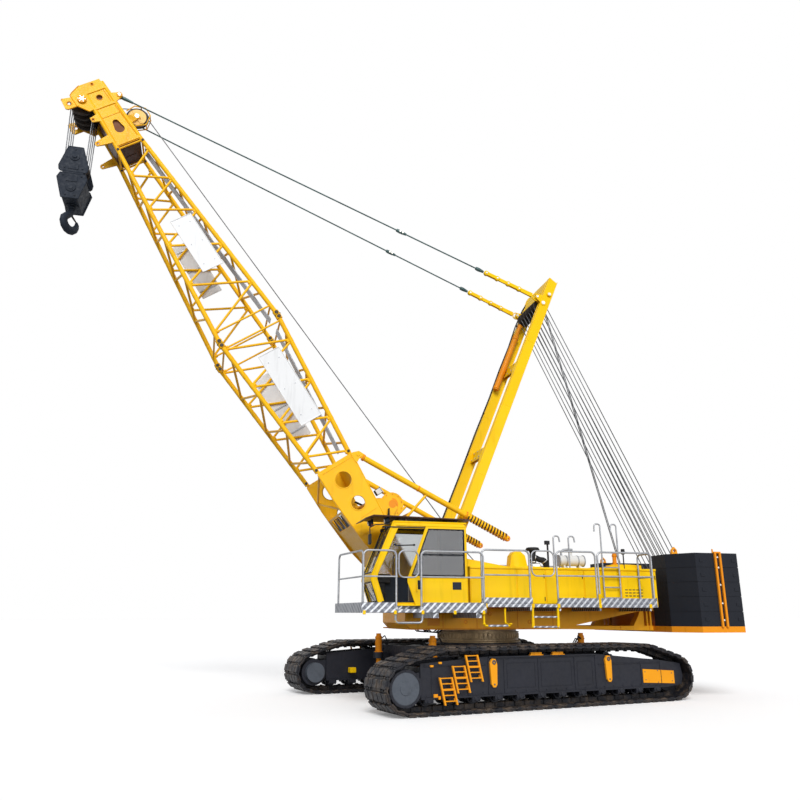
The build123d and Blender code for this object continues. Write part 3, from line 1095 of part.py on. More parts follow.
BLOCK_WAIST = (12480, 12530)
UPPER_CHEEK = [(-347, 12680), (-175, BLOCK_TOP), (175, BLOCK_TOP), (347, 12680), (330, 12570), (290, BLOCK_WAIST[1]),
               (-290, BLOCK_WAIST[1]), (-330, 12570)]
LOWER_CHEEK = [(-290, BLOCK_WAIST[0]), (-352, 12350), (-200, BLOCK_LOW), (200, BLOCK_LOW), (352, 12350),
               (290, BLOCK_WAIST[0])]
with BuildPart() as hook_block:
    for side in (1, -1):
        face = (side * BLOCK_HALF, side * (BLOCK_HALF - 40))
        for cheek in (UPPER_CHEEK, LOWER_CHEEK):
            plate([(HEAD_X + x, z) for x, z in cheek], face)
        for z in (BLOCK_SHEAVE_Z, 12085):
            cross_bar(HEAD_X, z, 85, (face[0] - side * 5, face[0] + side * 25))
    for k in range(HEAD_SHEAVES):
        y = (k - (HEAD_SHEAVES - 1) / 2) * SHEAVE_STEP
        cross_bar(HEAD_X, BLOCK_SHEAVE_Z, BLOCK_SHEAVE_RADIUS - 2 * FALL_RADIUS - RUNNING_GAP, (y - 25, y + 25))
    cross_bar(HEAD_X, BLOCK_SHEAVE_Z, 50, (-BLOCK_HALF - 50, BLOCK_HALF + 50))
    cross_bar(HEAD_X, BLOCK_TOP - 70, 40, (-BLOCK_HALF, BLOCK_HALF))
    # waist between the cheeks, and the lower block that the hook swivels in
    block((HEAD_X - 240, HEAD_X + 240), (-BLOCK_HALF, BLOCK_HALF), (BLOCK_WAIST[0] - 10, BLOCK_WAIST[1] + 10))
    plate([(HEAD_X - 270, BLOCK_WAIST[0]), (HEAD_X - 320, 12350), (HEAD_X - 185, BLOCK_LOW), (HEAD_X + 185, BLOCK_LOW),
           (HEAD_X + 320, 12350), (HEAD_X + 270, BLOCK_WAIST[0])], (20 - BLOCK_HALF, BLOCK_HALF - 20))
write(hook_block, "hook_block")

# the hook's outer and inner bend, from its shank to its tip, about its own shank
HOOK_BACK = [(85, -130), (190, -230), (300, -360), (325, -470), (270, -620), (140, -730), (0, -755), (-150, -715),
             (-265, -600), (-300, -480), (-285, -380), (-235, -330)]
HOOK_BOWL = [(-190, -365), (-130, -455), (-60, -530), (0, -550), (80, -530), (130, -450), (125, -370), (60, -280),
             (-40, -200), (-85, -130)]
HOOK_HALF = 75
SHANK_RADIUS = 85
with BuildPart() as hook:
    with BuildSketch(Plane.XZ) as outline:
        with BuildLine():
            Spline(*HOOK_BACK)
            Line(HOOK_BACK[-1], HOOK_BOWL[0])
            Spline(*HOOK_BOWL)
            Line(HOOK_BOWL[-1], HOOK_BACK[0])
        make_face()
    extrude(outline.sketch, amount=HOOK_HALF, both=True)
    post(0, 0, SHANK_RADIUS, (-150, -RUNNING_GAP))
write(hook, "hook", Location((HEAD_X, 0, BLOCK_LOW), (0, 0, HOOK_TURN)))
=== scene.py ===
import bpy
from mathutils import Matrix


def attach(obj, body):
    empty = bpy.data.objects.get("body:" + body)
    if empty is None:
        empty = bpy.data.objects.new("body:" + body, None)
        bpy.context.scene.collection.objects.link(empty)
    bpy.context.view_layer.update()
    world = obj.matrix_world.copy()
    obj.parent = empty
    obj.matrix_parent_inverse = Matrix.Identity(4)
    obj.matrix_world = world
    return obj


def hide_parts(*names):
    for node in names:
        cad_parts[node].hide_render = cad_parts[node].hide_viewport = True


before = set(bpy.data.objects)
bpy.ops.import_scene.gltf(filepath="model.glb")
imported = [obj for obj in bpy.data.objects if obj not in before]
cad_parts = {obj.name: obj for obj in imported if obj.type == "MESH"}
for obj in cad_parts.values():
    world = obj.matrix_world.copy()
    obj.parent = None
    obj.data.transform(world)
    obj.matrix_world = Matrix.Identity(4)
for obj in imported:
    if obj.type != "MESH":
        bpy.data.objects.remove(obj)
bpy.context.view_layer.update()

from math import acos, atan2, cos, hypot, pi, radians, sin

import bpy
from mathutils import Matrix, Vector

# The frame is the CAD's, in metres: +X the way the boom points, +Y the cab's side, +Z up.
BOOM_ANGLE = radians(56.1)
MAST_ANGLE = radians(112.6)
TRACK_TURN = radians(12.3)
BOOM_AT = Matrix.Translation((1.862, 0, 2.470)) @ Matrix.Rotation(-BOOM_ANGLE, 4, "Y")
MAST_AT = Matrix.Translation((1.190, 0, 2.620)) @ Matrix.Rotation(-MAST_ANGLE, 4, "Y")
TRACKS_AT = Matrix.Rotation(TRACK_TURN, 4, "Z")
HERE = Matrix.Identity(4)
# the same places for points given in the CAD's millimetres
MM = Matrix.Scale(0.001, 4)
BOOM_MM = BOOM_AT @ MM
MAST_MM = MAST_AT @ MM
TRACKS_MM = TRACKS_AT @ MM
PLACES = {"undercarriage": TRACKS_MM, "boom": BOOM_MM, "mast": MAST_MM, "mast_block": MAST_MM}
SIDES = (("left", 1), ("right", -1))
X, Y, Z = (1, 0, 0), (0, 1, 0), (0, 0, 1)

# ---------------------------------------------------------------- materials
MATERIALS = {}


class Tree:
    """A small builder of node trees."""

    def __init__(self, tree):
        self.tree = tree

    def add(self, kind, **settings):
        node = self.tree.nodes.new(kind)
        for key, value in settings.items():
            setattr(node, key, value)
        return node

    def link(self, out, into):
        self.tree.links.new(out, into)

    def put(self, value, into):
        """A number, a colour or another node's output goes into a socket."""
        if isinstance(value, (int, float)):
            into.default_value = value
        elif isinstance(value, tuple):
            into.default_value = (*value, 1)
        else:
            self.link(value, into)

    def maths(self, operation, a, b):
        node = self.add("ShaderNodeMath", operation=operation, use_clamp=False)
        for socket, value in zip(node.inputs, (a, b)):
            self.put(value, socket)
        return node.outputs[0]


class Nodes(Tree):
    """A node material round its principled shader."""

    def __init__(self, name):
        self.material = bpy.data.materials.new(name)
        self.material.use_nodes = True
        super().__init__(self.material.node_tree)
        self.shader = next(n for n in self.tree.nodes if n.type == "BSDF_PRINCIPLED")
        self.place = self.add("ShaderNodeTexCoord").outputs["Object"]
        MATERIALS[name] = self.material

    def stretched(self, scale):
        node = self.add("ShaderNodeMapping")
        node.inputs["Scale"].default_value = scale
        self.link(self.place, node.inputs["Vector"])
        return node.outputs["Vector"]

    def bands(self, direction, scale, place=None, distortion=0.0):
        node = self.add("ShaderNodeTexWave", wave_type="BANDS", bands_direction=direction)
        node.inputs["Scale"].default_value = scale
        node.inputs["Distortion"].default_value = distortion
        self.link(place or self.place, node.inputs["Vector"])
        return node.outputs["Fac"]

    def noise(self, scale, detail=4.0, rough=0.55, stretch=None):
        node = self.add("ShaderNodeTexNoise")
        node.inputs["Scale"].default_value = scale
        node.inputs["Detail"].default_value = detail
        node.inputs["Roughness"].default_value = rough
        self.link(self.stretched(stretch) if stretch else self.place, node.inputs["Vector"])
        return node.outputs["Fac"]

    def span(self, value, low, high, to_low=0.0, to_high=1.0):
        node = self.add("ShaderNodeMapRange", clamp=True)
        for key, number in zip(("From Min", "From Max", "To Min", "To Max"), (low, high, to_low, to_high)):
            node.inputs[key].default_value = number
        self.link(value, node.inputs["Value"])
        return node.outputs["Result"]

    def mix(self, share, a, b):
        node = self.add("ShaderNodeMix", data_type="RGBA")
        self.put(share, node.inputs[0])
        for socket, value in zip([s for s in node.inputs if s.type == "RGBA"], (a, b)):
            self.put(value, socket)
        return next(s for s in node.outputs if s.type == "RGBA")

    def coat(self, mask, strength, base, colour):
        """A colour over a base where a mask is, at a strength."""
        return self.mix(self.maths("MULTIPLY", mask, strength), base, colour)

    def facing_up(self):
        node = self.add("ShaderNodeSeparateXYZ")
        self.link(self.add("ShaderNodeNewGeometry").outputs["Normal"], node.inputs[0])
        return node.outputs["Z"]

    def bump(self, value, strength, distance, under=None):
        node = self.add("ShaderNodeBump")
        node.inputs["Strength"].default_value = strength
        node.inputs["Distance"].default_value = distance
        self.link(value, node.inputs["Height"])
        if under is not None:
            self.link(under, node.inputs["Normal"])
        return node.outputs["Normal"]

    def finish(self, colour, roughness, normal=None, metallic=0.0, **sockets):
        sockets |= {"Base_Color": colour, "Roughness": roughness, "Metallic": metallic}
        for key, value in sockets.items():
            self.put(value, self.shader.inputs[key.replace("_", " ")])
        if normal is not None:
            self.link(normal, self.shader.inputs["Normal"])


def shade(colour, share):
    """A colour made darker or lighter."""
    return tuple(c * share for c in colour)


def paint(name, colour, worn, dust=(0.46, 0.33, 0.16), rough=0.4, dusty=0.12, shine=0.04):
    """Sprayed enamel: slow shifts of colour, streaks down its faces, dust where it faces up, fine scuffs."""
    n = Nodes(name)
    cloud = n.span(n.noise(0.9, 3), 0.35, 0.65)
    base = n.coat(cloud, 0.45, colour, worn)
    streak = n.span(n.noise(1.0, 5, 0.6, stretch=(9, 9, 0.7)), 0.56, 0.72)
    base = n.coat(streak, 0.22, base, shade(worn, 0.45))
    settled = n.span(n.facing_up(), 0.35, 0.95)
    patches = n.span(n.noise(7, 6, 0.65), 0.42, 0.7)
    base = n.coat(n.maths("MULTIPLY", settled, patches), dusty, base, dust)
    scuff = n.span(n.noise(38, 7, 0.7), 0.66, 0.74)
    base = n.coat(scuff, 0.3, base, shade(colour, 0.5))
    roughness = n.span(n.noise(14, 5), 0.3, 0.75, rough - 0.06, rough + 0.2)
    normal = n.bump(n.noise(160, 2), 0.04, 0.002)
    normal = n.bump(n.noise(1.7, 2), 0.05, 0.02, normal)
    n.finish(base, roughness, normal, Coat_Weight=shine, Coat_Roughness=0.12, Specular_IOR_Level=0.1)


def bare_metal(name, colour, dark, rough=0.45, metallic=0.9, spangle=30, dusty=0.0):
    """Galvanised or machined steel: spangle, fine scratches and a little dust."""
    n = Nodes(name)
    cell = n.add("ShaderNodeTexVoronoi", feature="F1")
    cell.inputs["Scale"].default_value = spangle
    n.link(n.place, cell.inputs["Vector"])
    base = n.mix(n.span(cell.outputs["Color"], 0.1, 0.9, 0.0, 0.5), colour, dark)
    grime = n.span(n.noise(5, 6, 0.65), 0.5, 0.75, 0, 0.5)
    base = n.mix(grime, base, shade(dark, 0.45))
    if dusty:
        settled = n.maths("MULTIPLY", n.span(n.facing_up(), 0.2, 0.9), dusty)
        base = n.mix(settled, base, (0.35, 0.31, 0.26))
    roughness = n.span(n.noise(22, 6), 0.3, 0.7, rough - 0.1, rough + 0.18)
    normal = n.bump(n.noise(90, 4, stretch=(1, 1, 0.2)), 0.08, 0.002)
    n.finish(base, roughness, normal, metallic=metallic)


def dark_steel(name, colour, dust, dusty=0.35, rough=0.5, relief=0.12, metallic=0.3, rub=0.2, gloss=0.3):
    """Black painted or cast steel with dust in the hollows and rubbed patches."""
    n = Nodes(name)
    cloud = n.span(n.noise(1.6, 4), 0.35, 0.65)
    base = n.mix(cloud, colour, tuple(min(1, c * 1.35) for c in colour))
    patches = n.span(n.noise(4.5, 7, 0.7), 0.46, 0.68)
    settled = n.span(n.facing_up(), -0.2, 0.9, 0.25, 1.0)
    base = n.coat(n.maths("MULTIPLY", patches, settled), dusty, base, dust)
    rubbed = n.span(n.noise(26, 6, 0.7), 0.62, 0.7)
    base = n.coat(rubbed, rub, base, tuple(min(1, c * 3 + 0.02) for c in colour))
    roughness = n.span(n.noise(12, 6), 0.3, 0.7, rough - 0.12, rough + 0.2)
    normal = n.bump(n.noise(70, 5), relief, 0.004)
    normal = n.bump(n.noise(6, 4), relief, 0.012, normal)
    n.finish(base, roughness, normal, metallic=metallic, Specular_IOR_Level=gloss)


paint("yellow_paint", (0.92, 0.585, 0.002), (0.88, 0.50, 0.002))
paint("boom_paint", (0.95, 0.53, 0.010), (0.86, 0.41, 0.008), dusty=0.06, shine=0.05)
# a darker copy of the boom's paint for the head's rims: painted shade along their edges
paint("edge_paint", (0.80, 0.36, 0.006), (0.70, 0.27, 0.006), dusty=0.06, shine=0.04)
# a lighter copy of the orange paint for the revolving frame: painted light on its shaded sides
paint("frame_orange_lit", (0.98, 0.46, 0.02), (0.92, 0.38, 0.02), dusty=0.06, shine=0.04)
# a brown for the plates seen through the head's openings: painted shade inside the head
paint("hole_paint", (0.20, 0.075, 0.03), (0.13, 0.05, 0.02), dusty=0.05, shine=0.0)
paint("board_white", (0.80, 0.81, 0.82), (0.76, 0.77, 0.78), dusty=0.02, rough=0.45)
paint("orange_paint", (0.84, 0.30, 0.012), (0.72, 0.22, 0.01), dusty=0.1)
paint("idler_cream", (0.92, 0.62, 0.20), (0.80, 0.48, 0.12), dusty=0.1)
paint("ladder_orange", (0.92, 0.38, 0.015), (0.8, 0.28, 0.015), dusty=0.1)
paint("brown_paint", (0.070, 0.030, 0.020), (0.045, 0.020, 0.014), dusty=0.15)
paint("white_paint", (0.70, 0.70, 0.69), (0.62, 0.61, 0.58), dusty=0.1, rough=0.45)
paint("weight_paint", (0.013, 0.015, 0.021), (0.020, 0.022, 0.028), (0.10, 0.09, 0.08), 0.5, 0.3, 0.03)
dark_steel("black_steel", (0.0075, 0.0085, 0.014), (0.05, 0.045, 0.045), 0.15, metallic=0.0)
dark_steel("track_steel", (0.008, 0.0085, 0.012), (0.25, 0.18, 0.12), 0.6, 0.5, 0.2, 0.1)
dark_steel("cast_black", (0.016, 0.021, 0.031), (0.05, 0.05, 0.05), 0.05, 0.55, 0.02, 0.0, 0.05, 0.12)
dark_steel("sheave_steel", (0.026, 0.020, 0.017), (0.14, 0.10, 0.07), 0.35, 0.5, 0.1, 0.2)
bare_metal("galvanised", (0.36, 0.37, 0.39), (0.20, 0.21, 0.23), 0.42, 0.75)
bare_metal("disc_grey", (0.066, 0.078, 0.098), (0.056, 0.066, 0.084), 0.6, 0.1, 12)
bare_metal("ring_steel", (0.30, 0.21, 0.11), (0.05, 0.035, 0.02), 0.42, 0.55, 3, dusty=0.1)
bare_metal("bright_steel", (0.66, 0.65, 0.62), (0.5, 0.48, 0.45), 0.32, 0.95, 18)
dark_steel("rubber", (0.007, 0.007, 0.008), (0.06, 0.05, 0.045), 0.15, 0.6, 0.1, 0.0)


def chequer():
    """Galvanised chequer plate: raised lozenges in crossing rows."""
    n = Nodes("chequer_plate")
    base = n.mix(n.span(n.noise(6, 6, 0.65), 0.35, 0.7), (0.17, 0.18, 0.21), (0.10, 0.105, 0.12))
    turned = []
    for angle in (0.785, -0.785):
        place = n.add("ShaderNodeMapping")
        place.inputs["Rotation"].default_value = (0, angle, angle)
        place.inputs["Scale"].default_value = (7, 7, 7)
        n.link(n.place, place.inputs["Vector"])
        turned.append(n.span(n.bands("X", 0.6, place.outputs["Vector"]), 0.55, 0.85))
    relief = n.maths("MAXIMUM", turned[0], n.maths("MULTIPLY", turned[1], 0.25))
    base = n.coat(relief, 0.75, base, (0.50, 0.52, 0.55))
    n.finish(base, n.span(relief, 0, 1, 0.55, 0.3), n.bump(relief, 0.6, 0.006), metallic=0.5)


def wire_rope(name, colour, lit):
    """Stranded wire rope with grease in its lay, its strands banded with a painted highlight."""
    n = Nodes(name)
    lay = n.bands("DIAGONAL", 14, distortion=0.4)
    # the lit colour on the strands is a painted highlight
    base = n.mix(lay, colour, lit)
    base = n.mix(n.span(n.noise(3, 5), 0.4, 0.7, 0, 0.6), base, shade(colour, 0.5))
    n.finish(base, 0.42, n.bump(lay, 0.4, 0.004), metallic=0.8)


def tinted_glass(name, light, dark, clear, alpha):
    """Glass in two tints, with smears."""
    n = Nodes(name)
    smear = n.span(n.noise(3, 6, 0.7), 0.45, 0.8, 0.02, 0.14)
    tint = n.mix(n.span(n.noise(1.3, 3), 0.3, 0.7, 0, 1), light, dark)
    n.finish(tint, smear, Transmission_Weight=clear, IOR=1.45, Alpha=alpha)
    n.material.blend_method = "BLEND"


def woven(name, colour, lit):
    """Coarse seat cloth."""
    n = Nodes(name)
    weave = n.maths("MULTIPLY", n.bands("X", 120), n.bands("Z", 120))
    base = n.mix(weave, colour, lit)
    base = n.mix(n.span(n.noise(5, 5), 0.45, 0.75, 0, 0.5), base, (0.16, 0.13, 0.10))
    n.finish(base, 0.85, n.bump(weave, 0.5, 0.002), Sheen_Weight=0.3)


def lens(name, colour, rib_highlight):
    """A ribbed lamp lens, its ribs banded with a painted highlight."""
    n = Nodes(name)
    ribs = n.bands("Z", 60)
    n.finish(n.mix(ribs, colour, rib_highlight), n.span(n.noise(8, 4), 0.3, 0.7, 0.08, 0.25), n.bump(ribs, 0.3, 0.003))


lens("lamp_lens", (0.42, 0.45, 0.48), (0.70, 0.73, 0.76))
lens("lamp_red", (0.35, 0.05, 0.02), (0.65, 0.14, 0.05))
chequer()
wire_rope("rope", (0.045, 0.05, 0.055), (0.30, 0.31, 0.33))
wire_rope("pendant_rope", (0.02, 0.05, 0.05), (0.09, 0.14, 0.14))
tinted_glass("cab_glazing", (0.30, 0.34, 0.35), (0.20, 0.24, 0.25), 0.8, 0.5)
tinted_glass("door_glazing", (0.030, 0.035, 0.045), (0.055, 0.060, 0.070), 0.3, 0.86)
woven("seat_cloth", (0.05, 0.035, 0.03), (0.10, 0.08, 0.07))

# the CAD nodes that wear each look
CAD_LOOKS = {
    "track_steel": "track_left track_right",
    "black_steel": "track_frames track_rollers end_wheels carbody",
    "disc_grey": "final_drives",
    "ladder_orange": "track_steps track_fittings lifting_eyes",
    "orange_paint": "jack_cylinders counterweight_tray mast_cylinder",
    "ring_steel": "slew_ring slew_race",
    # the revolving frame wears the lighter orange, painted light
    "frame_orange_lit": "revolving_frame",
    "yellow_paint": "frame_winches machinery_houses roof_covers access_steps cab_frame cab_door mast",
    "weight_paint": "counterweights",
    "rubber": "air_intake",
    "white_paint": "muffler",
    "chequer_plate": "walkways cab_platform",
    "galvanised": "railings hand_canes boom_walkway",
    "cab_glazing": "cab_glass",
    "seat_cloth": "operator_seat",
    "brown_paint": "cab_roof_guard",
    "door_glazing": "door_glass",
    "boom_paint": "boom_foot_plates boom_foot_section boom_top_section boom_head boom_winch backstops",
    "board_white": "sign_boards",
    "sheave_steel": "boom_head_sheaves mast_sheaves lower_sheaves",
    "pendant_rope": "pendants",
    "cast_black": "hook_block hook",
    "rope": "hoist_falls",
}
for look, nodes in CAD_LOOKS.items():
    for node in nodes.split():
        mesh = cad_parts[node].data
        mesh.materials.clear()
        mesh.materials.append(MATERIALS[look])

# the record's material slots and the looks that belong to each
SLOT_LOOKS = {
    "black_steel": "black_steel cast_black rubber",
    "track_steel": "track_steel",
    "rope_steel": "rope pendant_rope",
    "orange_steel": "orange_paint ladder_orange",
    "yellow_steel": "yellow_paint boom_paint edge_paint idler_cream",
    "brown_steel": "brown_paint hole_paint",
    "cast_weight": "weight_paint",
    "seat": "seat_cloth",
    "bright_steel": "bright_steel sheave_steel",
    "grey_steel": "galvanised chequer_plate ring_steel disc_grey",
}
SLOTS = {look: slot for slot, looks in SLOT_LOOKS.items() for look in looks.split()}


# ---------------------------------------------------------------- mesh builders
HEAP = []                                            # the next piece's shapes, each (vertices, faces)


def add(*shapes):
    """Puts shapes on the heap."""
    HEAP.extend(shapes)


def make(name, look, body, shapes=None, at=None, flat=False, slot="", replaces=None):
    """One piece from the heap, or from given shapes: placed, dressed and riding on a body.

    Without a place it lies in its body's millimetres. Its slot is not used.
    """
    at = at or PLACES.get(body, MM)
    verts, faces = [], []
    for shape_verts, shape_faces in HEAP if shapes is None else shapes:
        start = len(verts)
        verts += [at @ Vector(v) for v in shape_verts]
        faces += [tuple(start + k for k in face) for face in shape_faces]
    if shapes is None:
        HEAP.clear()
    mesh = bpy.data.meshes.new(name)
    mesh.from_pydata(verts, [], faces)
    mesh.validate()
    if not flat:
        mesh.shade_smooth()
        mesh.set_sharp_from_angle(angle=radians(35))
    mesh.materials.append(MATERIALS[look])
    piece = bpy.data.objects.new(name, mesh)
    bpy.context.collection.objects.link(piece)
    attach(piece, body)
    slot = SLOTS.get(look) if slot == "" else slot
    if replaces:
        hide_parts(replaces)


def brick(low, high, chamfer=0.0):
    """A box between two corners, its edges chamfered."""
    (x0, x1), (y0, y1), (z0, z1) = map(sorted, zip(low, high))
    c = min(chamfer, (x1 - x0) / 3, (y1 - y0) / 3, (z1 - z0) / 3)
    if c <= 0:
        verts = [(x, y, z) for z in (z0, z1) for y in (y0, y1) for x in (x0, x1)]
        return verts, [(0, 2, 3, 1), (4, 5, 7, 6), (0, 1, 5, 4), (1, 3, 7, 5), (3, 2, 6, 7), (2, 0, 4, 6)]
    return skin([[(x, y, z) for x, y in octagon(x0 + i, x1 - i, y0 + i, y1 - i, c * 0.3 if i else c)]
                 for z, i in ((z0, c), (z0 + c, 0), (z1 - c, 0), (z1, c))])


def octagon(x0, x1, y0, y1, c):
    """A rectangle with its corners cut, counter-clockwise."""
    return [(x0 + c, y0), (x1 - c, y0), (x1, y0 + c), (x1, y1 - c),
            (x1 - c, y1), (x0 + c, y1), (x0, y1 - c), (x0, y0 + c)]


def across(way):
    """A direction at right angles to another."""
    return way.cross(Vector(Z) if abs(way.z) < 0.9 else Vector(X)).normalized()


def frames_along(points):
    """A direction and two side vectors at each point, turned as little as possible from one to the next."""
    points = [Vector(p) for p in points]
    runs = [(b - a).normalized() for a, b in zip(points, points[1:])]
    ways = [runs[0]] + [(a + b).normalized() for a, b in zip(runs, runs[1:])] + [runs[-1]]
    side = across(ways[0])
    out = []
    for point, way in zip(points, ways):
        side = (side - way * side.dot(way)).normalized()
        out.append((point, way, side, way.cross(side)))
    return out


def rings_joined(rings, count):
    """The faces between rings of points, one ring after another."""
    joined = []
    for r in range(rings - 1):
        for k in range(count):
            a, b = r * count + k, r * count + (k + 1) % count
            joined.append((a, b, b + count, a + count))
    return joined


def ring_caps(total, count):
    """The faces that close the first and the last ring."""
    return [tuple(range(count - 1, -1, -1)), tuple(range(total - count, total))]


def tube(points, radius, sides=10):
    """A round tube through points; radius is one number or one a point."""
    radii = radius if isinstance(radius, (list, tuple)) else [radius] * len(points)
    verts = []
    for (point, _, u, v), r in zip(frames_along(points), radii):
        for k in range(sides):
            a = 2 * pi * k / sides
            verts.append(tuple(point + u * (r * cos(a)) + v * (r * sin(a))))
    return verts, rings_joined(len(points), sides) + ring_caps(len(verts), sides)


def turned(profile, centre, axis, sides, closed):
    """A profile of (radius, height) turned about an axis."""
    axis = Vector(axis).normalized()
    u = across(axis)
    v = axis.cross(u)
    verts, faces = [], []
    for k in range(sides):
        a = 2 * pi * k / sides
        way = u * cos(a) + v * sin(a)
        verts += [tuple(Vector(centre) + way * r + axis * t) for r, t in profile]
    n = len(profile)
    for k in range(sides):
        a, b = k * n, (k + 1) % sides * n
        for j in range(n if closed else n - 1):
            i = (j + 1) % n
            faces.append((a + j, b + j, b + i, a + i))
    return verts, faces


def disc(centre, axis, radius, thick, sides=28, edge=0.0, bore=0.0):
    """A flat round of a given thickness about an axis, with a chamfered edge and an optional bore."""
    e, half = min(edge, thick / 3, radius / 3), thick / 2
    profile = [(bore, -half), (radius - e, -half), (radius, -half + e), (radius, half - e), (radius - e, half),
               (bore, half)]
    return turned(profile, centre, axis, sides, bore > 0)


def bolts(places, axis, radius=0.018, thick=0.014):
    """Hexagon heads."""
    return [disc(p, axis, radius, thick, sides=6) for p in places]


def bolt_circle(centre, reach, count, radius, thick):
    """Hexagon heads round a centre, in the plane across Y."""
    x, y, z = centre
    turns = [2 * pi * k / count for k in range(count)]
    return bolts([(x + reach * cos(a), y, z + reach * sin(a)) for a in turns], Y, radius, thick)


def between(a, b, share):
    """The value or point a share of the way from a to b."""
    return a + (b - a) * share


def skin(rings):
    """A closed skin over rings of equal length."""
    verts = [p for ring in rings for p in ring]
    return verts, ring_caps(len(verts), len(rings[0])) + rings_joined(len(rings), len(rings[0]))


def oval(a, b, count=36):
    """Points of an ellipse round the origin."""
    return [(a * cos(2 * pi * k / count), b * sin(2 * pi * k / count)) for k in range(count)]


# ---------------------------------------------------------------- tracks
TRACK_Y, SHOE_PITCH = 2520, 245
AXLE_X, AXLE_Z, END_RADIUS, TRACK_TOP = 3485, 515, 490, 1254
RAMP_X, CREST_X, RUN_RADIUS = 3250, 2650, 300
PLATE_FACE = 330
ROLLER_X = [between(-2950, 2950, k / 11) for k in range(12)]


def belt(wheels):
    """Arcs and straights of a belt round wheels (x, z, radius), as in the CAD."""
    angles = []
    for (xa, za, ra), (xb, zb, rb) in zip(wheels, wheels[1:] + wheels[:1]):
        angles.append(atan2(zb - za, xb - xa) - acos((ra - rb) / hypot(xb - xa, zb - za)))
    stretches = []
    for k, (x, z, r) in enumerate(wheels):
        turn = (angles[k] - angles[k - 1]) % (2 * pi)
        stretches.append((r * turn, x, z, r, angles[k - 1], None, None))
        xn, zn, rn = wheels[(k + 1) % len(wheels)]
        c, s = cos(angles[k]), sin(angles[k])
        a, b = (x + r * c, z + r * s), (xn + rn * c, zn + rn * s)
        stretches.append((hypot(b[0] - a[0], b[1] - a[1]), *a, 0, angles[k], *b))
    return stretches


def belt_point(stretches, travel):
    """The (x, z) of a belt a length of travel along it."""
    for length, x, z, r, angle, x2, z2 in stretches:
        if travel <= length:
            break
        travel -= length
    if x2 is None:
        angle += travel / r
        return x + r * cos(angle), z + r * sin(angle)
    share = travel / length
    return between(x, x2, share), between(z, z2, share)


CREST_Z = TRACK_TOP - RUN_RADIUS
TRACK_BELT = belt([(RAMP_X, RUN_RADIUS, RUN_RADIUS), (AXLE_X, AXLE_Z, END_RADIUS),
                   (CREST_X, CREST_Z, RUN_RADIUS), (-CREST_X, CREST_Z, RUN_RADIUS),
                   (-AXLE_X, AXLE_Z, END_RADIUS), (-RAMP_X, RUN_RADIUS, RUN_RADIUS)])
BELT_LENGTH = sum(stretch[0] for stretch in TRACK_BELT)
SHOE_COUNT = round(BELT_LENGTH / SHOE_PITCH)
PITCH = BELT_LENGTH / SHOE_COUNT

# one shoe: tread pads with grooves between them, its plate, end lugs, guides, pin lugs and a tooth
SHOE = [brick((-80, y - 88, -42), (80, y + 88, 6), 12) for y in range(-404, 405, 202)]
SHOE.append(brick((-116, -500, -70), (116, 500, -38), 8))
for side in (1, -1):
    SHOE.append(brick((-62, side * 430, -84), (62, side * 500, -48), 10))
    SHOE.append(brick((-116, side * 62, -160), (116, side * 128, -50), 12))
    for y in (235, 345, 455):
        SHOE.append(disc((122, side * y, -44), Y, 25, 62, sides=8, edge=5))
        SHOE.append(disc((-60, side * (y - 55), -8), Z, 17, 20, sides=8))
SHOE.append(brick((-34, -42, -186), (34, 42, -50), 10))

for name, side in SIDES:
    for k in range(SHOE_COUNT):
        xa, za = belt_point(TRACK_BELT, k * PITCH)
        xb, zb = belt_point(TRACK_BELT, min((k + 1) * PITCH, BELT_LENGTH - 1e-6))
        run = hypot(xb - xa, zb - za)
        dx, dz = (xb - xa) / run, (zb - za) / run
        nx, nz = dz, -dx
        mx, mz = (xa + xb) / 2, (za + zb) / 2
        for verts, faces in SHOE:                    # it stays a millimetre above the floor
            add(([(mx + a * dx + b * nx, side * TRACK_Y + y, max(1.0, mz + a * dz + b * nz))
                  for a, y, b in verts], faces))
    make(f"track_shoes_{name}", "track_steel", "undercarriage", flat=True, replaces=f"track_{name}")

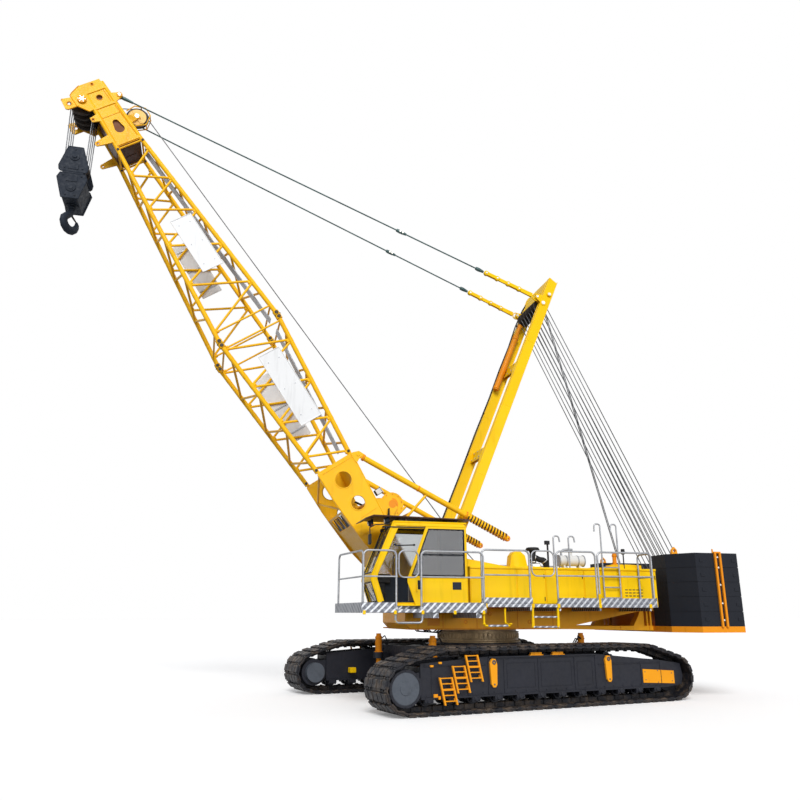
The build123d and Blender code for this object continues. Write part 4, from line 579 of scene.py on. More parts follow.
for name, side in SIDES:
    face, inner = side * (TRACK_Y + PLATE_FACE), side * (TRACK_Y - PLATE_FACE)

    def wall(x, z, out, base=face, way=side):
        """A brick standing off a side plate."""
        return brick((x[0], base, z[0]), (x[1], base + way * out, z[1]), 5)

    for x in ROLLER_X:
        add(wall((x - 98, x + 98), (236, 330), 26))
        add(disc((x, face + side * 26, 268), Y, 44, 26, sides=20, edge=6))
        add(*bolts([(x + dx, face + side * 28, z) for dx in (-76, 76) for z in (252, 312)], Y, 13, 16))
    for low, high, z in ((-3080, -1290, 832), (-1150, 1500, 1010), (1620, 3050, 900)):
        add(wall((low, high), (z - 12, z + 12), 14))
    for x, low, high in ((-3100, 360, 850), (-2520, 360, 860), (-1215, 340, 1030), (-640, 340, 1000),
                         (320, 340, 1000), (1180, 340, 1010), (1565, 340, 1035), (2050, 340, 960),
                         (2880, 340, 900)):
        add(wall((x - 14, x + 14), (low, high), 12))
    add(*bolts([(between(-3000, 3000, k / 23), face + side * 8, 372) for k in range(24)], Y, 12, 14))
    for x0, x1, z0, z1 in ((-1130, -720, 420, 900), (-560, 240, 430, 910), (400, 1100, 430, 910)):
        for xa, xb, za, zb in ((x0, x1, z0, z0 + 14), (x0, x1, z1, z1 + 14), (x0, x0 + 14, z0, z1),
                               (x1, x1 + 14, z0, z1)):
            add(wall((xa, xb), (za, zb), 7))
    for x in ROLLER_X:
        add(wall((x - 98, x + 98), (236, 330), 26, inner, -side))
        add(*bolts([(x + dx, inner - side * 28, z) for dx in (-76, 76) for z in (252, 312)], Y, 13, 16))
    make(f"frame_details_{name}", "black_steel", "undercarriage", flat=True)

    cover = face + side * 70
    add(disc((AXLE_X, cover - side * 4, AXLE_Z), Y, 352, 30, sides=48, edge=8, bore=300))
    add(disc((AXLE_X, side * 2112, AXLE_Z), Y, 120, 12, sides=32, edge=4))
    add(*bolt_circle((AXLE_X, cover + side * 14, AXLE_Z), 328, 16, 11, 16))
    add(disc((AXLE_X, side * 2119, AXLE_Z), Y, 316, 12, sides=48, edge=4))
    make(f"drive_ring_{name}", "black_steel", "undercarriage", flat=True, slot=None)
    add(disc((AXLE_X, cover + side * 3, AXLE_Z), Y, 292, 12, sides=48, edge=5),
        disc((AXLE_X, cover + side * 12, AXLE_Z), Y, 120, 14, sides=40, edge=6))
    make(f"drive_cover_{name}", "disc_grey", "undercarriage", slot=None)

    # ladder feet and treads, small brackets, lug rings
    for x, z in ((2560, 440), (2265, 648), (1960, 845)):
        mid, level = x + 7.2, z + 30.6
        add(brick((mid - 142, face + side * 62, level - 22), (mid + 142, face + side * 118, level + 16), 5))
        for dx, dz in ((-170, -190), (175, -150)):
            add(wall((x + dx - 22, x + dx + 22), (z + dz, z + dz + 60), 62))
    add(wall((2760, 2850), (300, 390), 30))
    for x, z in ((2890, 905), (2700, 960)):
        add(wall((x - 35, x + 35), (z - 20, z + 20), 40))
    make(f"ladder_treads_{name}", "ladder_orange", "undercarriage", flat=True)
    for x in (1460, -1550):
        add(disc((x - 5, face + side * 50, 945), Y, 44, 26, sides=24, edge=5, bore=20))
        add(disc((x - 8, face + side * 47, 520), Y, 18, 14, sides=16, edge=3))
    for x, z in ((-2620, 640), (-2630, 470), (-3420, 590), (-3430, 420), (-3000, 655), (-3000, 405)):
        add(disc((x, face + side * 14, z), Y, 12, 8, sides=10))
    make(f"lug_rings_{name}", "disc_grey", "undercarriage", flat=True, slot=None)

# hoses on the carbody, flanges and blocks on the jacks
JACKS = [(x, y) for x in (2050, -2050) for y in (-1400, 1400)]
for x, y in JACKS:
    way = 1 if x > 0 else -1
    for radius, line in (
            (17, ((-60, 70, 1330), (-130, 90, 1380), (-190, 60, 1290), (-260, 20, 1150), (-420, 0, 1100))),
            (15, ((20, -95, 1300), (-60, -130, 1330), (-160, -110, 1220), (-330, -60, 1130)))):
        add(tube([(x + way * dx, y + dy, z) for dx, dy, z in line], radius, 8))
for y in (-520, -300, 300, 520):
    add(tube([(1180, y, 1120), (1320, y * 1.1, 1230), (1700, y * 1.9, 1180), (1760, y * 2.6, 1160)], 16, 8))
make("carbody_hoses", "rubber", "undercarriage")

for x, y in JACKS:
    for z, radius, thick in ((1000, 104, 26), (1330, 92, 30)):
        add(disc((x, y, z), Z, radius, thick, sides=28, edge=6))
    add(brick((x - 40, y - 130, 1120), (x + 40, y - 70, 1260), 10))
make("jack_flanges", "orange_paint", "undercarriage", flat=True)

for z, radius, thick, edge in ((1262, 1035, 40, 8), (1335, 1000, 20, 5), (1478, 1004, 30, 6)):
    add(disc((0, 0, z), Z, radius, thick, sides=96, edge=edge, bore=900))
for k in range(60):
    a = 2 * pi * k / 60
    for reach, z, radius, thick in ((1008, 1286, 15, 20), (988, 1400, 16, 100)):
        add(disc((reach * cos(a), reach * sin(a), z), Z, radius, thick, sides=6))
make("slew_ring_gear", "ring_steel", "undercarriage", flat=True)
for fore in (1, -1):
    for y in [between(-2000, 2000, k / 12) for k in (0, 1, 2, 10, 11, 12)]:
        add(*bolts([(fore * 1785, y, z) for z in (1060, 520)], X, 14, 20))
    for side in (1, -1):
        add(brick((fore * 1500 - 290, side * 1700 - 8, 440), (fore * 1500 + 290, side * 1700 + 8, 1162), 3))
    add(brick((fore * 1500 - 292, -2180, 1150), (fore * 1500 + 292, 2180, 1162), 4))
make("carbody_plates", "black_steel", "undercarriage", flat=True)
add(brick((2380, -2190, 470), (2540, -2010, 600), 14))
make("front_box", "yellow_paint", "undercarriage", flat=True, slot=None)

# ---------------------------------------------------------------- revolving frame, counterweight, winches
UP = "upper_works"
DECK_HALF, DECK_LOW, DECK_TOP = 1130, 1550, 2060
HOUSE_TOP, HOUSE_FRONT, HOUSE_REAR = 2940, 800, -3950
HOUSE_IN, HOUSE_OUT = 1180, 1800
WALK_OUT = 2500


def sidewise(x, y, z, side=1, chamfer=4):
    """A brick between two values on each axis, mirrored to a side."""
    return brick((x[0], side * y[0], z[0]), (x[1], side * y[1], z[1]), chamfer)


for side in (1, -1):
    add(sidewise((-1400, 2140), (DECK_HALF, DECK_HALF + 10), (DECK_LOW + 6, DECK_LOW + 34), side))
    add(sidewise((-5700, 2140), (DECK_HALF, DECK_HALF + 12), (DECK_TOP - 34, DECK_TOP - 4), side))
    for x in (-1500, -600, 420, 1250):
        add(sidewise((x - 8, x + 8), (DECK_HALF, DECK_HALF + 9), (DECK_LOW + 30, DECK_TOP - 30), side))
    add(sidewise((1330, 1620), (DECK_HALF, DECK_HALF + 8), (1640, 1900), side))
    for x, z in ((700, 1720), (100, 1900), (-900, 1720)):
        add(disc((x, side * (DECK_HALF + 4), z), Y, 46, 12, sides=24, edge=3, bore=26))
    for x in (-4420, -4100, -3300):
        add(sidewise((x - 8, x + 8), (1100, 1108), (1520, 1616), side))
make("frame_ribs", "orange_paint", UP, flat=True)

for y in (-520, -300, 300, 520, 760):
    add(tube([(1500, y, DECK_LOW + 12), (1420, y, 1492), (1240, y * 0.96, 1478),
              (1120, y * 0.94, DECK_LOW + 10)], 16, 8))
make("frame_hoses", "rubber", UP)

for side in (1, -1):
    for x in (-5130, -5260):
        add(sidewise((x - 26, x + 26), (2500, 2552), (1600, 3296), side, 5))
    add(sidewise((-5290, -5100), (2500, 2545), (3290, 3330), side, 6))
make("weight_ties", "orange_paint", UP, flat=True)
for side in (1, -1):
    for z in (1760, 2140, 2560, 2960, 3200):
        add(disc((-5195, side * 2512, z), Y, 24, 26, sides=6))
make("weight_bolts", "bright_steel", UP, flat=True)
for side in (1, -1):
    for x in (-4900, -5500):
        add(disc((x, side * 1500, 3308), Z, 70, 20, sides=24, edge=6, bore=40))
    for z in [1617 + k * 337.4 for k in range(5)]:
        for x in (-4760, -5640):
            add(sidewise((x - 55, x + 55), (2499, 2512), (z + 120, z + 200), side, 8))
make("weight_sockets", "weight_paint", UP, flat=True)

WINCHES, WINCH_Z, ROPE_LAY = ((-450, 560), (-1750, 560), (-3650, 480)), 2500, 27


def wraps(x, y, z, radius, turns):
    """Rope laid round a drum that lies along Y, twelve points a turn."""
    return tube([(x + radius * cos(2 * pi * k / 12), y + ROPE_LAY * k / 12, z + radius * sin(2 * pi * k / 12))
                 for k in range(turns * 12)], 12, 5)


add(*[wraps(x, -length + 40, WINCH_Z, 243, int((2 * length - 60) / ROPE_LAY)) for x, length in WINCHES])
make("winch_rope_wraps", "rope", UP)
for x, length in WINCHES:
    for y in (-length - 20, length + 20):
        add(disc((x, y, WINCH_Z), Y, 150, 30, sides=32, edge=8))
        add(*bolt_circle((x, y, WINCH_Z), 300, 8, 20, 46))
make("winch_hubs", "disc_grey", UP, flat=True)

# ---------------------------------------------------------------- machinery houses
for side in (1, -1):
    for x0, x1 in ((-3930, -3020), (-2980, -2050), (-2010, -1070), (-1030, -350), (-310, 780)):
        add(sidewise((x0, x1), (HOUSE_OUT, HOUSE_OUT + 14), (DECK_TOP + 70, HOUSE_TOP - 66), side, 8))
    for y in ((HOUSE_OUT - 20, HOUSE_OUT + 26), (HOUSE_IN - 20, HOUSE_IN + 30)):
        add(sidewise((HOUSE_REAR - 6, HOUSE_FRONT + 8), y, (HOUSE_TOP - 46, HOUSE_TOP + 4), side, 8))
    for x0, x1 in ((-3000, -2300), (-1000, -330)):
        add(sidewise((x0, x1), (1230, 1740), (HOUSE_TOP, HOUSE_TOP + 26), side, 12))
make("house_panels", "yellow_paint", UP, flat=True)
for side in (1, -1):
    for x0 in (-3920, -2970, -2000, -1020):
        for z in (2230, 2740):
            add(tube([(x0 + 8, side * (HOUSE_OUT + 20), z + dz) for dz in (-45, 45)], 10, 8))
    for row in range(3):                             # louvres in the rear panel, as dark bars: painted shade in their gaps
        for k in range(5):
            x = -3560 + k * 100
            z = 2300 + row * 70
            add(sidewise((x, x + 74), (HOUSE_OUT + 8, HOUSE_OUT + 20), (z, z + 22), side))
    # vents in the house's rear face, as dark bars: painted shade in their gaps
    for k in range(7):
        add(sidewise((HOUSE_REAR - 12, HOUSE_REAR), (1300, 1700), (2300 + k * 70, 2324 + k * 70), side, 3))
make("house_fittings", "rubber", UP, flat=True)

# roof gear on the cab's side: smooth forms over the plain solids
ROOF_Y = 1450


def roof_disc(x, z, axis, radius, thick, sides=28, edge=4):
    """A disc at a height above the roof, on the gear's line."""
    return disc((x, ROOF_Y, HOUSE_TOP + z), axis, radius, thick, sides, edge)


def roof_tube(points, radius, sides):
    """A tube through (x, height above the roof) on the gear's line."""
    return tube([(x, ROOF_Y, HOUSE_TOP + z) for x, z in points], radius, sides)


outline = [(-312, 0), (-330, 180), (-352, 280), (-385, 340), (-440, 378), (-520, 384), (-590, 380), (-650, 350),
           (-700, 290), (-735, 190), (-758, 0)]
rings = ((1246, 0.86), (1262, 0.97), (1300, 1.0), (1450, 1.0), (1488, 0.97), (1504, 0.86))
add(skin([[(-535 + (x + 535) * grow, y, HOUSE_TOP + z * grow) for x, z in outline] for y, grow in rings]))
add(skin([[(-3310 + x * grow, ROOF_Y + y * grow, HOUSE_TOP + z) for x, y in oval(450, 240)]
          for z, grow in ((0, 1.0), (50, 0.99), (90, 0.92), (112, 0.78), (122, 0.45), (124, 0.1))]))
make("roof_lumps", "yellow_paint", UP)
add(roof_tube([(-3080, 60), (-3080, 385)], 50, 16), roof_disc(-3080, 330, Z, 62, 40, 24, 8))
add(brick((-3190, 1400, HOUSE_TOP + 90), (-2990, 1500, HOUSE_TOP + 130), 10))
make("roof_post", "orange_paint", UP, flat=True)
for z, radius, thick, sides, edge in ((440, 168, 30, 36, 10), (470, 130, 34, 36, 12), (400, 84, 60, 28, 8)):
    add(roof_disc(-920, z, Z, radius, thick, sides, edge))
add(roof_tube([(-920, 120), (-920, 420)], 72, 20))
add(roof_tube([(-930, 260), (-1000, 245), (-1090, 205), (-1170, 185), (-1230, 130), (-1255, 30),
               (-1255, 0)], 66, 20))
add(brick((-1265, 1610, HOUSE_TOP + 545), (-1155, 1690, HOUSE_TOP + 635), 14))
add(brick((-3225, 1640, HOUSE_TOP + 350), (-3150, 1720, HOUSE_TOP + 480), 12))
add(tube([(-3190, 1680, HOUSE_TOP), (-3190, 1680, HOUSE_TOP + 360)], 16, 8))
make("intake_elbow", "rubber", UP)
add(roof_disc(-960, 253, (0.98, 0, 0.2), 76, 22), roof_disc(-1205, 160, (0.6, 0, 0.8), 76, 22))
add(roof_disc(-920, 150, Z, 82, 24), brick((-1090, 1380, HOUSE_TOP), (-860, 1520, HOUSE_TOP + 120), 20))
make("intake_clamps", "bright_steel", UP, flat=True)
for x, radius, thick, edge in ((-2222, 140, 26, 6), (-1578, 140, 26, 6), (-2240, 96, 16, 4),
                               (-1760, 131, 30, 4), (-2060, 131, 30, 4)):
    add(roof_disc(x, 190, X, radius, thick, 40, edge))
add(roof_tube([(-1660, 290), (-1660, 400), (-1720, 450), (-1860, 462), (-1960, 455)], 26, 12))
make("muffler_bands", "galvanised", UP, slot="bright_steel")

# ---------------------------------------------------------------- walkways, rails, steps
for side in (1, -1):
    for x0, x1 in ((-3480, -2040), (-2020, -1010), (-400, 790)):
        add(sidewise((x0 + 6, x1 - 6), (WALK_OUT, WALK_OUT + 7), (2112, 2226), side, 3))
        add(sidewise((x0, x1), (WALK_OUT - 4, WALK_OUT + 12), (2224, 2236), side, 2))
    add(sidewise((-3484, 794), (WALK_OUT - 6, WALK_OUT + 12), (2036, 2104), side, 3))
for x0, x1 in ((2796, 3494), (806, 2194)):
    add(sidewise((x0, x1), (2790, 2797), (1956, 2110)))
    add(sidewise((x0, x1), (2786, 2802), (2108, 2120)))
add(sidewise((806, 3500), (2784, 2802), (1916, 1984)))
make("kick_plates", "chequer_plate", UP, flat=True)

for side in (1, -1):                                 # rail clamps and sockets
    for x in (760, -370, -1030 if side > 0 else -430, -2000, -2060, -3440):
        y = side * (WALK_OUT - 40)
        add(brick((x - 34, y - 34, 2090), (x + 34, y + 34, 2150), 8))
        add(disc((x, y, 2720), Z, 30, 44, sides=16, edge=6))
for x in (3460, 2758, 2218, 830):
    add(brick((x - 34, 2716, 1975), (x + 34, 2784, 2040), 8))
    add(disc((x, 2750, 2641), Z, 30, 44, sides=16, edge=6))
for x, y in ((3460, 2690), (3712, 1220)):
    add(brick((x - 30, y - 30, 1975), (x + 30, y + 30, 2040), 8))
make("rail_sockets", "galvanised", UP, flat=True)

for side in (1, -1):
    for x in (-1010, -400, -2030, -3300, 700):
        add(sidewise((x - 34, x + 34), (WALK_OUT - 10, WALK_OUT + 26), (2020, 2110), side, 8))
    for x in (-2046, -2014):
        add(sidewise((x - 12, x + 12), (WALK_OUT - 10, WALK_OUT + 20), (2090, 2330), side, 5))
for x in (2790, 2200, 3440, 1500, 860):
    add(sidewise((x - 30, x + 30), (2770, 2810), (1880, 1960), 1, 8))
for x in (-400, -1000):                              # access ladder, slanting forward
    add(tube([(x, 2485, 2060), (x + 30, 2500, 1610)], 22, 10))
for x, y in ((840, 2740), (240, 2740)):
    add(disc((x, y, 1690), Z, 34, 30, sides=16, edge=6))
make("step_brackets", "yellow_paint", UP, flat=True)
add(tube([(x, 2740, z) for x, z in ((2770, 1925), (2770, 1775), (2752, 1733), (2710, 1715), (2260, 1715),
                                    (2218, 1733), (2200, 1775), (2200, 1925))], 25, 10))
make("cab_foot_loop", "galvanised", UP)
for z in (1620, 1830):
    add(sidewise((-390, -1010), (2398, 2502), (z - 18, z + 20), 1, 6))
add(sidewise((300, 760), (2694, 2766), (1630, 1672), 1, 8))
add(sidewise((2250, 2710), (2694, 2758), (1698, 1730), 1, 8))
make("step_treads", "chequer_plate", UP, flat=True)

# ---------------------------------------------------------------- cab
CAB_TOP = 3850
SCREEN = ((2700, CAB_TOP), (3170, 2710))
LOW_SCREEN = ((3185, 2600), (3000, 2060))
DOORWAY = [(1700, 2120), (1700, 3710), (2610, 3710), (3050, 2740), (3075, 2620), (2910, 2120)]
SIDE_WINDOW = [(1110, 2720), (1110, 3700), (1640, 3710), (1640, 2700)]
FAR_WINDOW = [(1110, 2720), (1110, 3700), (2610, 3710), (3040, 2780), (2900, 2600)]
DOOR_WINDOW = [(1105, 2690), (1105, 3695), (1925, 3695), (2305, 2690)]
DOOR_SIDE = [(1045, 2080), (1060, 3757), (1970, 3757), (2394, 2630), (2395, 2550), (2222, 2080)]
DOOR_FACE = 2326


def bead(outline, y, radius, inset=0.0, sides=8):
    """A closed bead round an outline of (x, z), at one y, moved in towards its middle."""
    mx = sum(p[0] for p in outline) / len(outline)
    mz = sum(p[1] for p in outline) / len(outline)
    ring = []
    for x, z in outline:
        run = hypot(x - mx, z - mz)
        ring.append((x - (x - mx) / run * inset, z - (z - mz) / run * inset))
    shapes = []
    for a, b in zip(ring, ring[1:] + ring[:1]):
        shapes.append(tube([(a[0], y, a[1]), (b[0], y, b[1])], radius, sides))
        shapes.append(disc((a[0], y, a[1]), Y, radius, 2 * radius * 0.9, sides=10, edge=radius * 0.3))
    return shapes


def on_screen(line, share, out=0.0):
    """A point (x, z) on the windscreen's line, moved out of the cab."""
    (x0, z0), (x1, z1) = line
    run = hypot(x1 - x0, z1 - z0)
    return (between(x0, x1, share) - (z1 - z0) / run * out, between(z0, z1, share) + (x1 - x0) / run * out)


add(*bead(SIDE_WINDOW, 2282, 15, 8) + bead(FAR_WINDOW, 1238, 15, 8))
for line, low, high in ((SCREEN, 0.09, 0.96), (LOW_SCREEN, 0.09, 0.86)):
    for y0, y1, s0, s1 in ((1330, 2190, low, low), (1330, 2190, high, high), (1330, 1330, low, high),
                           (2190, 2190, low, high)):
        (xa, za), (xb, zb) = on_screen(line, s0, 4), on_screen(line, s1, 4)
        add(tube([(xa, y0, za), (xb, y1, zb)], 15, 8))
for ya, za, yb, zb in ((1330, 2750, 2190, 2750), (1330, 3600, 2190, 3600), (1330, 2750, 1330, 3600),
                       (2190, 2750, 2190, 3600)):
    add(tube([(1036, ya, za), (1036, yb, zb)], 14, 8))
make("cab_seals", "rubber", UP)
make("door_seals", "rubber", "cab_door", bead(DOOR_WINDOW, DOOR_FACE + 4, 13, 6))

add(sidewise((1100, 2600), (1300, 2225), (3768, 3796), 1, 8))
add(sidewise((1095, 1120), (1300, 2225), (2080, 2760), 1, 8))
add(sidewise((1100, 2900), (1286, 1300), (2080, 2700), 1, 6))
make("cab_headliner", "cast_black", UP, flat=True)

for y in (1560, 2010):                               # wipers with their arms
    xa, za = on_screen(SCREEN, 0.14, 46)
    xb, zb = on_screen(SCREEN, 0.55, 30)
    add(tube([(xa, y, za), (xb, y + 40, zb)], 9, 8))
    xc, zc = on_screen(SCREEN, 0.28, 20)
    xd, zd = on_screen(SCREEN, 0.86, 20)
    add(tube([(xc, y + 30, zc), (xd, y + 46, zd)], 10, 6))
    add(brick((xa - 40, y - 50, za - 20), (xa + 30, y + 50, za + 40), 10))
xa, za = on_screen(LOW_SCREEN, 0.2, 26)
xb, zb = on_screen(LOW_SCREEN, 0.75, 22)
add(tube([(xa, 1600, za), (xb, 1990, zb)], 9, 8))
# the mirror on its arm, and two grab bars
add(tube([(2780, 2262, 3790), (3120, 2290, 3760), (3240, 2300, 3690), (3235, 2305, 3480)], 14, 8))
add(brick((3205, 2215, 3330), (3262, 2345, 3560), 18))
add(tube([(2660, 2215, 3365), (2660, 2215, 3340), (2630, 2220, 3332), (2250, 2220, 3348),
          (2225, 2220, 3350)], 13, 8))
for x in (2660, 2225):
    add(disc((x, 2218, 3350), Y, 24, 40, sides=12, edge=5))
add(tube([(2680, 2232, 2640), (2700, 2215, 2700), (2700, 2215, 3060), (2680, 2232, 3120)], 12, 8))
make("cab_fittings", "rubber", UP)

add(brick((1190, DOOR_FACE - 2, 2400), (1390, DOOR_FACE + 9, 2560), 6))
add(brick((2110, DOOR_FACE - 2, 2400), (2180, DOOR_FACE + 14, 2590), 12))
add(brick((2125, DOOR_FACE + 8, 2420), (2165, DOOR_FACE + 38, 2570), 10))
make("door_fittings", "cast_black", "cab_door", flat=True)
add(*[sidewise((1060, 2960), (2282, 2300), (z - 10, z + 14)) for z in (2140, 3720)])
make("door_rails", "cast_black", UP, flat=True)
for a, b in zip(DOOR_SIDE, DOOR_SIDE[1:] + DOOR_SIDE[:1]):
    add(tube([(a[0], DOOR_FACE - 4, a[1]), (b[0], DOOR_FACE - 4, b[1])], 12, 8))
add(brick((1110, DOOR_FACE - 3, 2640), (2330, DOOR_FACE + 9, 2668), 5))
make("door_edges", "yellow_paint", "cab_door")

for y, x, z in ((1800, 3120, 3850), (2160, 2830, 3868)):
    add(disc((x, y, z), (1, 0, -0.25), 62, 110, sides=24, edge=12))
    add(brick((x - 60, y - 20, z + 40), (x - 10, y + 20, z + 90), 5))
make("work_lamps", "cast_black", UP)
add(disc((3180, 1800, 3835), (1, 0, -0.25), 52, 10, sides=24, edge=3),
    disc((2890, 2160, 3853), (1, 0, -0.25), 52, 10, sides=24, edge=3))
make("lamp_lenses", "lamp_lens", UP, flat=True)
make("side_lamp", "lamp_red", UP, [disc((3120, 1800, 3812), (0.3, 0.4, -0.8), 58, 40, sides=28, edge=10)])

# beads along the roof's edges, the corner posts and the doorway
roof = [(1046, 1250), (2694, 1250), (2694, 2270), (1046, 2270)]
for (xa, ya), (xb, yb) in zip(roof, roof[1:] + roof[:1]):
    add(tube([(xa, ya, CAB_TOP - 8), (xb, yb, CAB_TOP - 8)], 22, 10))
for y in (1252, 2268):
    add(tube([(2700, y, CAB_TOP - 12), (3166, y, 2716), (3182, y, 2606), (3000, y, 2070)], 24, 10))
add(*bead(DOORWAY, 2276, 14))
add(sidewise((1200, 2560), (1400, 2100), (CAB_TOP - 2, CAB_TOP + 14), 1, 8))
make("cab_beads", "yellow_paint", UP)

# inside: console, sticks, screen, seat cushions
for low, high, chamfer in (
        ((2700, 1330, 2110), (2960, 1480, 2560), 20), ((2560, 1330, 2560), (2900, 1420, 2760), 18),
        ((2620, 1330, 3260), (2680, 1420, 3480), 12), ((2400, 1600, 2110), (2560, 1760, 2180), 14)):
    add(brick(low, high, chamfer))
for x, y in ((2760, 1650), (2760, 1850)):
    add(tube([(x, y, 2115), (x + 20, y, 2330), (x + 50, y, 2380)], 12, 8))
    add(brick((x - 30, y - 45, 2120), (x + 130, y + 45, 2150), 10))
for y in (1440, 2080):
    add(brick((1560, y - 55, 2640), (2180, y + 55, 2700), 16))
    add(disc((2080, y, 2890), Z, 28, 90, sides=16, edge=14))
    add(disc((2000, y, 2715), Z, 30, 40, sides=16, edge=8))
make("cab_controls", "rubber", UP)
add(brick((1420, 1500, 2480), (1985, 2020, 2580), 34))
for y0, y1 in ((1500, 1580), (1940, 2020)):
    add(brick((1440, y0, 2540), (1975, y1, 2620), 34))
back = [(1500, 2560), (1400, 3260), (1310, 3290), (1270, 3250), (1320, 2560)]
for y0, y1, inset in ((1515, 1590, 0), (1585, 1935, 18), (1930, 2005, 0)):
    add(skin([[(x - inset, y, z) for x, z in back] for y in (y0, y0 + 20, y1 - 20, y1)]))
head = [(1395, 3270), (1378, 3460), (1330, 3490), (1280, 3470), (1262, 3270)]
add(skin([[(x, y, z) for x, z in head] for y in (1610, 1640, 1880, 1910)]))
make("seat_cushions", "seat_cloth", UP)

# ---------------------------------------------------------------- boom
FOOT_LENGTH, JOINT_S, NECK_S, CHORD_END = 3400, 7360, 13385, 13325
FOOT_HALF, HEAD_HALF, CHORD_OFF = 987, 534, 57
# along the boom: half its width, half its depth and its middle's height
SECTIONS = ((FOOT_LENGTH, FOOT_HALF, 500, -45), (JOINT_S, FOOT_HALF, 855, -40), (NECK_S, HEAD_HALF, 386, 0))
WINCH_PIN = (1926, 716)


def chord_at(s, side, back):
    """The middle of a boom chord at a distance from the foot pin."""
    for (s0, w0, d0, m0), (s1, w1, d1, m1) in zip(SECTIONS, SECTIONS[1:]):
        if s <= s1:
            break
    share = (s - s0) / (s1 - s0)
    return (s, side * (between(w0, w1, share) - CHORD_OFF),
            between(m0, m1, share) + back * (between(d0, d1, share) - CHORD_OFF))


def collar(point, toward, radius, thick, sides, edge):
    """A disc that faces along the way from one point to another."""
    return disc(point, tuple(Vector(toward) - Vector(point)), radius, thick, sides, edge)


def at_pin(pin, y):
    """A point on a pin's axis, from the pin's (x, z)."""
    return pin[0], y, pin[1]


# welded saddles at the lattice's nodes, and the pins of its joints
foot_nodes = [between(3560, 7205, (k / 7) ** 1.1) for k in range(8)]
top_nodes = [between(7670, 12975, (k / 9) ** 0.88) for k in range(10)]
for nodes, first in ((foot_nodes, 1), (top_nodes, -1)):
    for k, s in enumerate(nodes):
        back = first if k % 2 == 0 else -first
        for side in (1, -1):
            here = chord_at(s, side, back)
            add(collar(here, chord_at(s + 100, side, back), 60, 120, 20, 12))
            toward = chord_at(s, side, -back)
            mid = tuple(between(a, b, 0.055) for a, b in zip(here, toward))
            add(collar(mid, toward, 44, 60, 14, 8))
    for a, b in zip(nodes, nodes[1:]):
        for back in (1, -1):
            for side in (1, -1):
                s = (a + b) / 2
                add(collar(chord_at(s, side, back), chord_at(s + 90, side, back), 59.5, 90, 20, 10))
make("boom_saddles", "boom_paint", "boom")

for side in (1, -1):
    for back in (1, -1):
        for ds in (-60, 60):
            x, y, z = chord_at(JOINT_S + ds, side, back)
            add(disc((x, y, z), Y, 46, 176, sides=20, edge=8))
        x, y, z = chord_at(JOINT_S, side, back)
        add(collar((x, y, z), chord_at(JOINT_S + 90, side, back), 88, 10, 24, 3))
        for s in (3560, 13240):
            x, y, z = chord_at(s, side, back)
            add(disc((x, y, z), Y, 34, 150, sides=16, edge=6))
make("joint_pins", "sheave_steel", "boom", flat=True)

for side in (1, -1):
    y = side * FOOT_HALF
    for s, t, radius in ((3039, -71, 198), (2395, -64, 171)):     # rims of the plates' openings
        add(disc((s, y - side * 20, t), Y, radius + 26, 60, sides=40, edge=6, bore=radius - 2))
    add(disc((0, y + side * 8, 0), Y, 165, 34, sides=36, edge=8, bore=62))
    add(disc((3364, side * 960, 565), Y, 46, 120, sides=20, edge=8))
    for s0, t0, s1, t1 in ((180, -175, 1500, -440), (1500, -440, 2700, -520), (2700, -520, 3420, -520),
                           (300, 175, 3300, 440)):
        add(tube([(s0, y, t0), (s1, y, t1)], 13, 8))
    for s, low, high in ((1700, -380, 330), (2060, -200, 340), (3400, -420, 400), (1120, -300, 240)):
        add(brick((s - 7, y, low), (s + 7, y + side * 12, high), 2))
make("foot_plate_rims", "boom_paint", "boom")

# dark plates on the belly for its slots: painted shade in the openings
for y0, y1 in ((-690, -290), (-200, 200), (290, 690)):
    add(brick((2040, y0, -452), (2370, y1, -440)))
make("belly_slot_shade", "cast_black", "boom", flat=True)

# edges and brackets of the blank white boards
BOARDS = ((4660, 6620, -230, 330), (9214, 10800, -230, 320))
for s0, s1, low, high in BOARDS:
    for side in (1, -1):
        ya, yb = chord_at(s0, side, 1)[1] + side * 44, chord_at(s1, side, 1)[1] + side * 44
        for t in (low, high):
            add(tube([(s0, ya, t), (s1, yb, t)], 11, 6))
        for s, y in ((s0, ya), (s1, yb)):
            add(tube([(s, y, low), (s, y, high)], 11, 6))
make("board_edges", "board_white", "boom", flat=True)
for s0, s1, low, high in BOARDS:
    for side in (1, -1):
        for share in (0.12, 0.5, 0.88):
            s = between(s0, s1, share)
            y = chord_at(s, side, 1)[1] + side * 26
            add(brick((s - 18, y, low + 20), (s + 18, y - side * 16, high - 20), 4))
            add(*[disc((s, y + side * 20, t), Y, 14, 12, sides=8) for t in (200, -100)])
make("board_brackets", "galvanised", "boom", flat=True)

# the walkway's light grating, in two runs that the boom's joint parts
for s0, s1 in ((3700, 7210), (7510, 13085)):
    count = int((s1 - s0) / 90)
    for k in range(count + 1):
        s = between(s0 + 10, s1 - 10, k / count)
        t = chord_at(s, 1, 1)[2] - 38
        add(brick((s - 5, 64, t - 8), (s + 5, 376, t + 9)))
    for y in (64, 220, 376):
        a, b = chord_at(s0, 1, 1)[2] - 34, chord_at(s1, 1, 1)[2] - 34
        add(tube([(s0, y, a), (s1, y, b)], 7, 5))
make("boom_grating", "galvanised", "boom", flat=True)

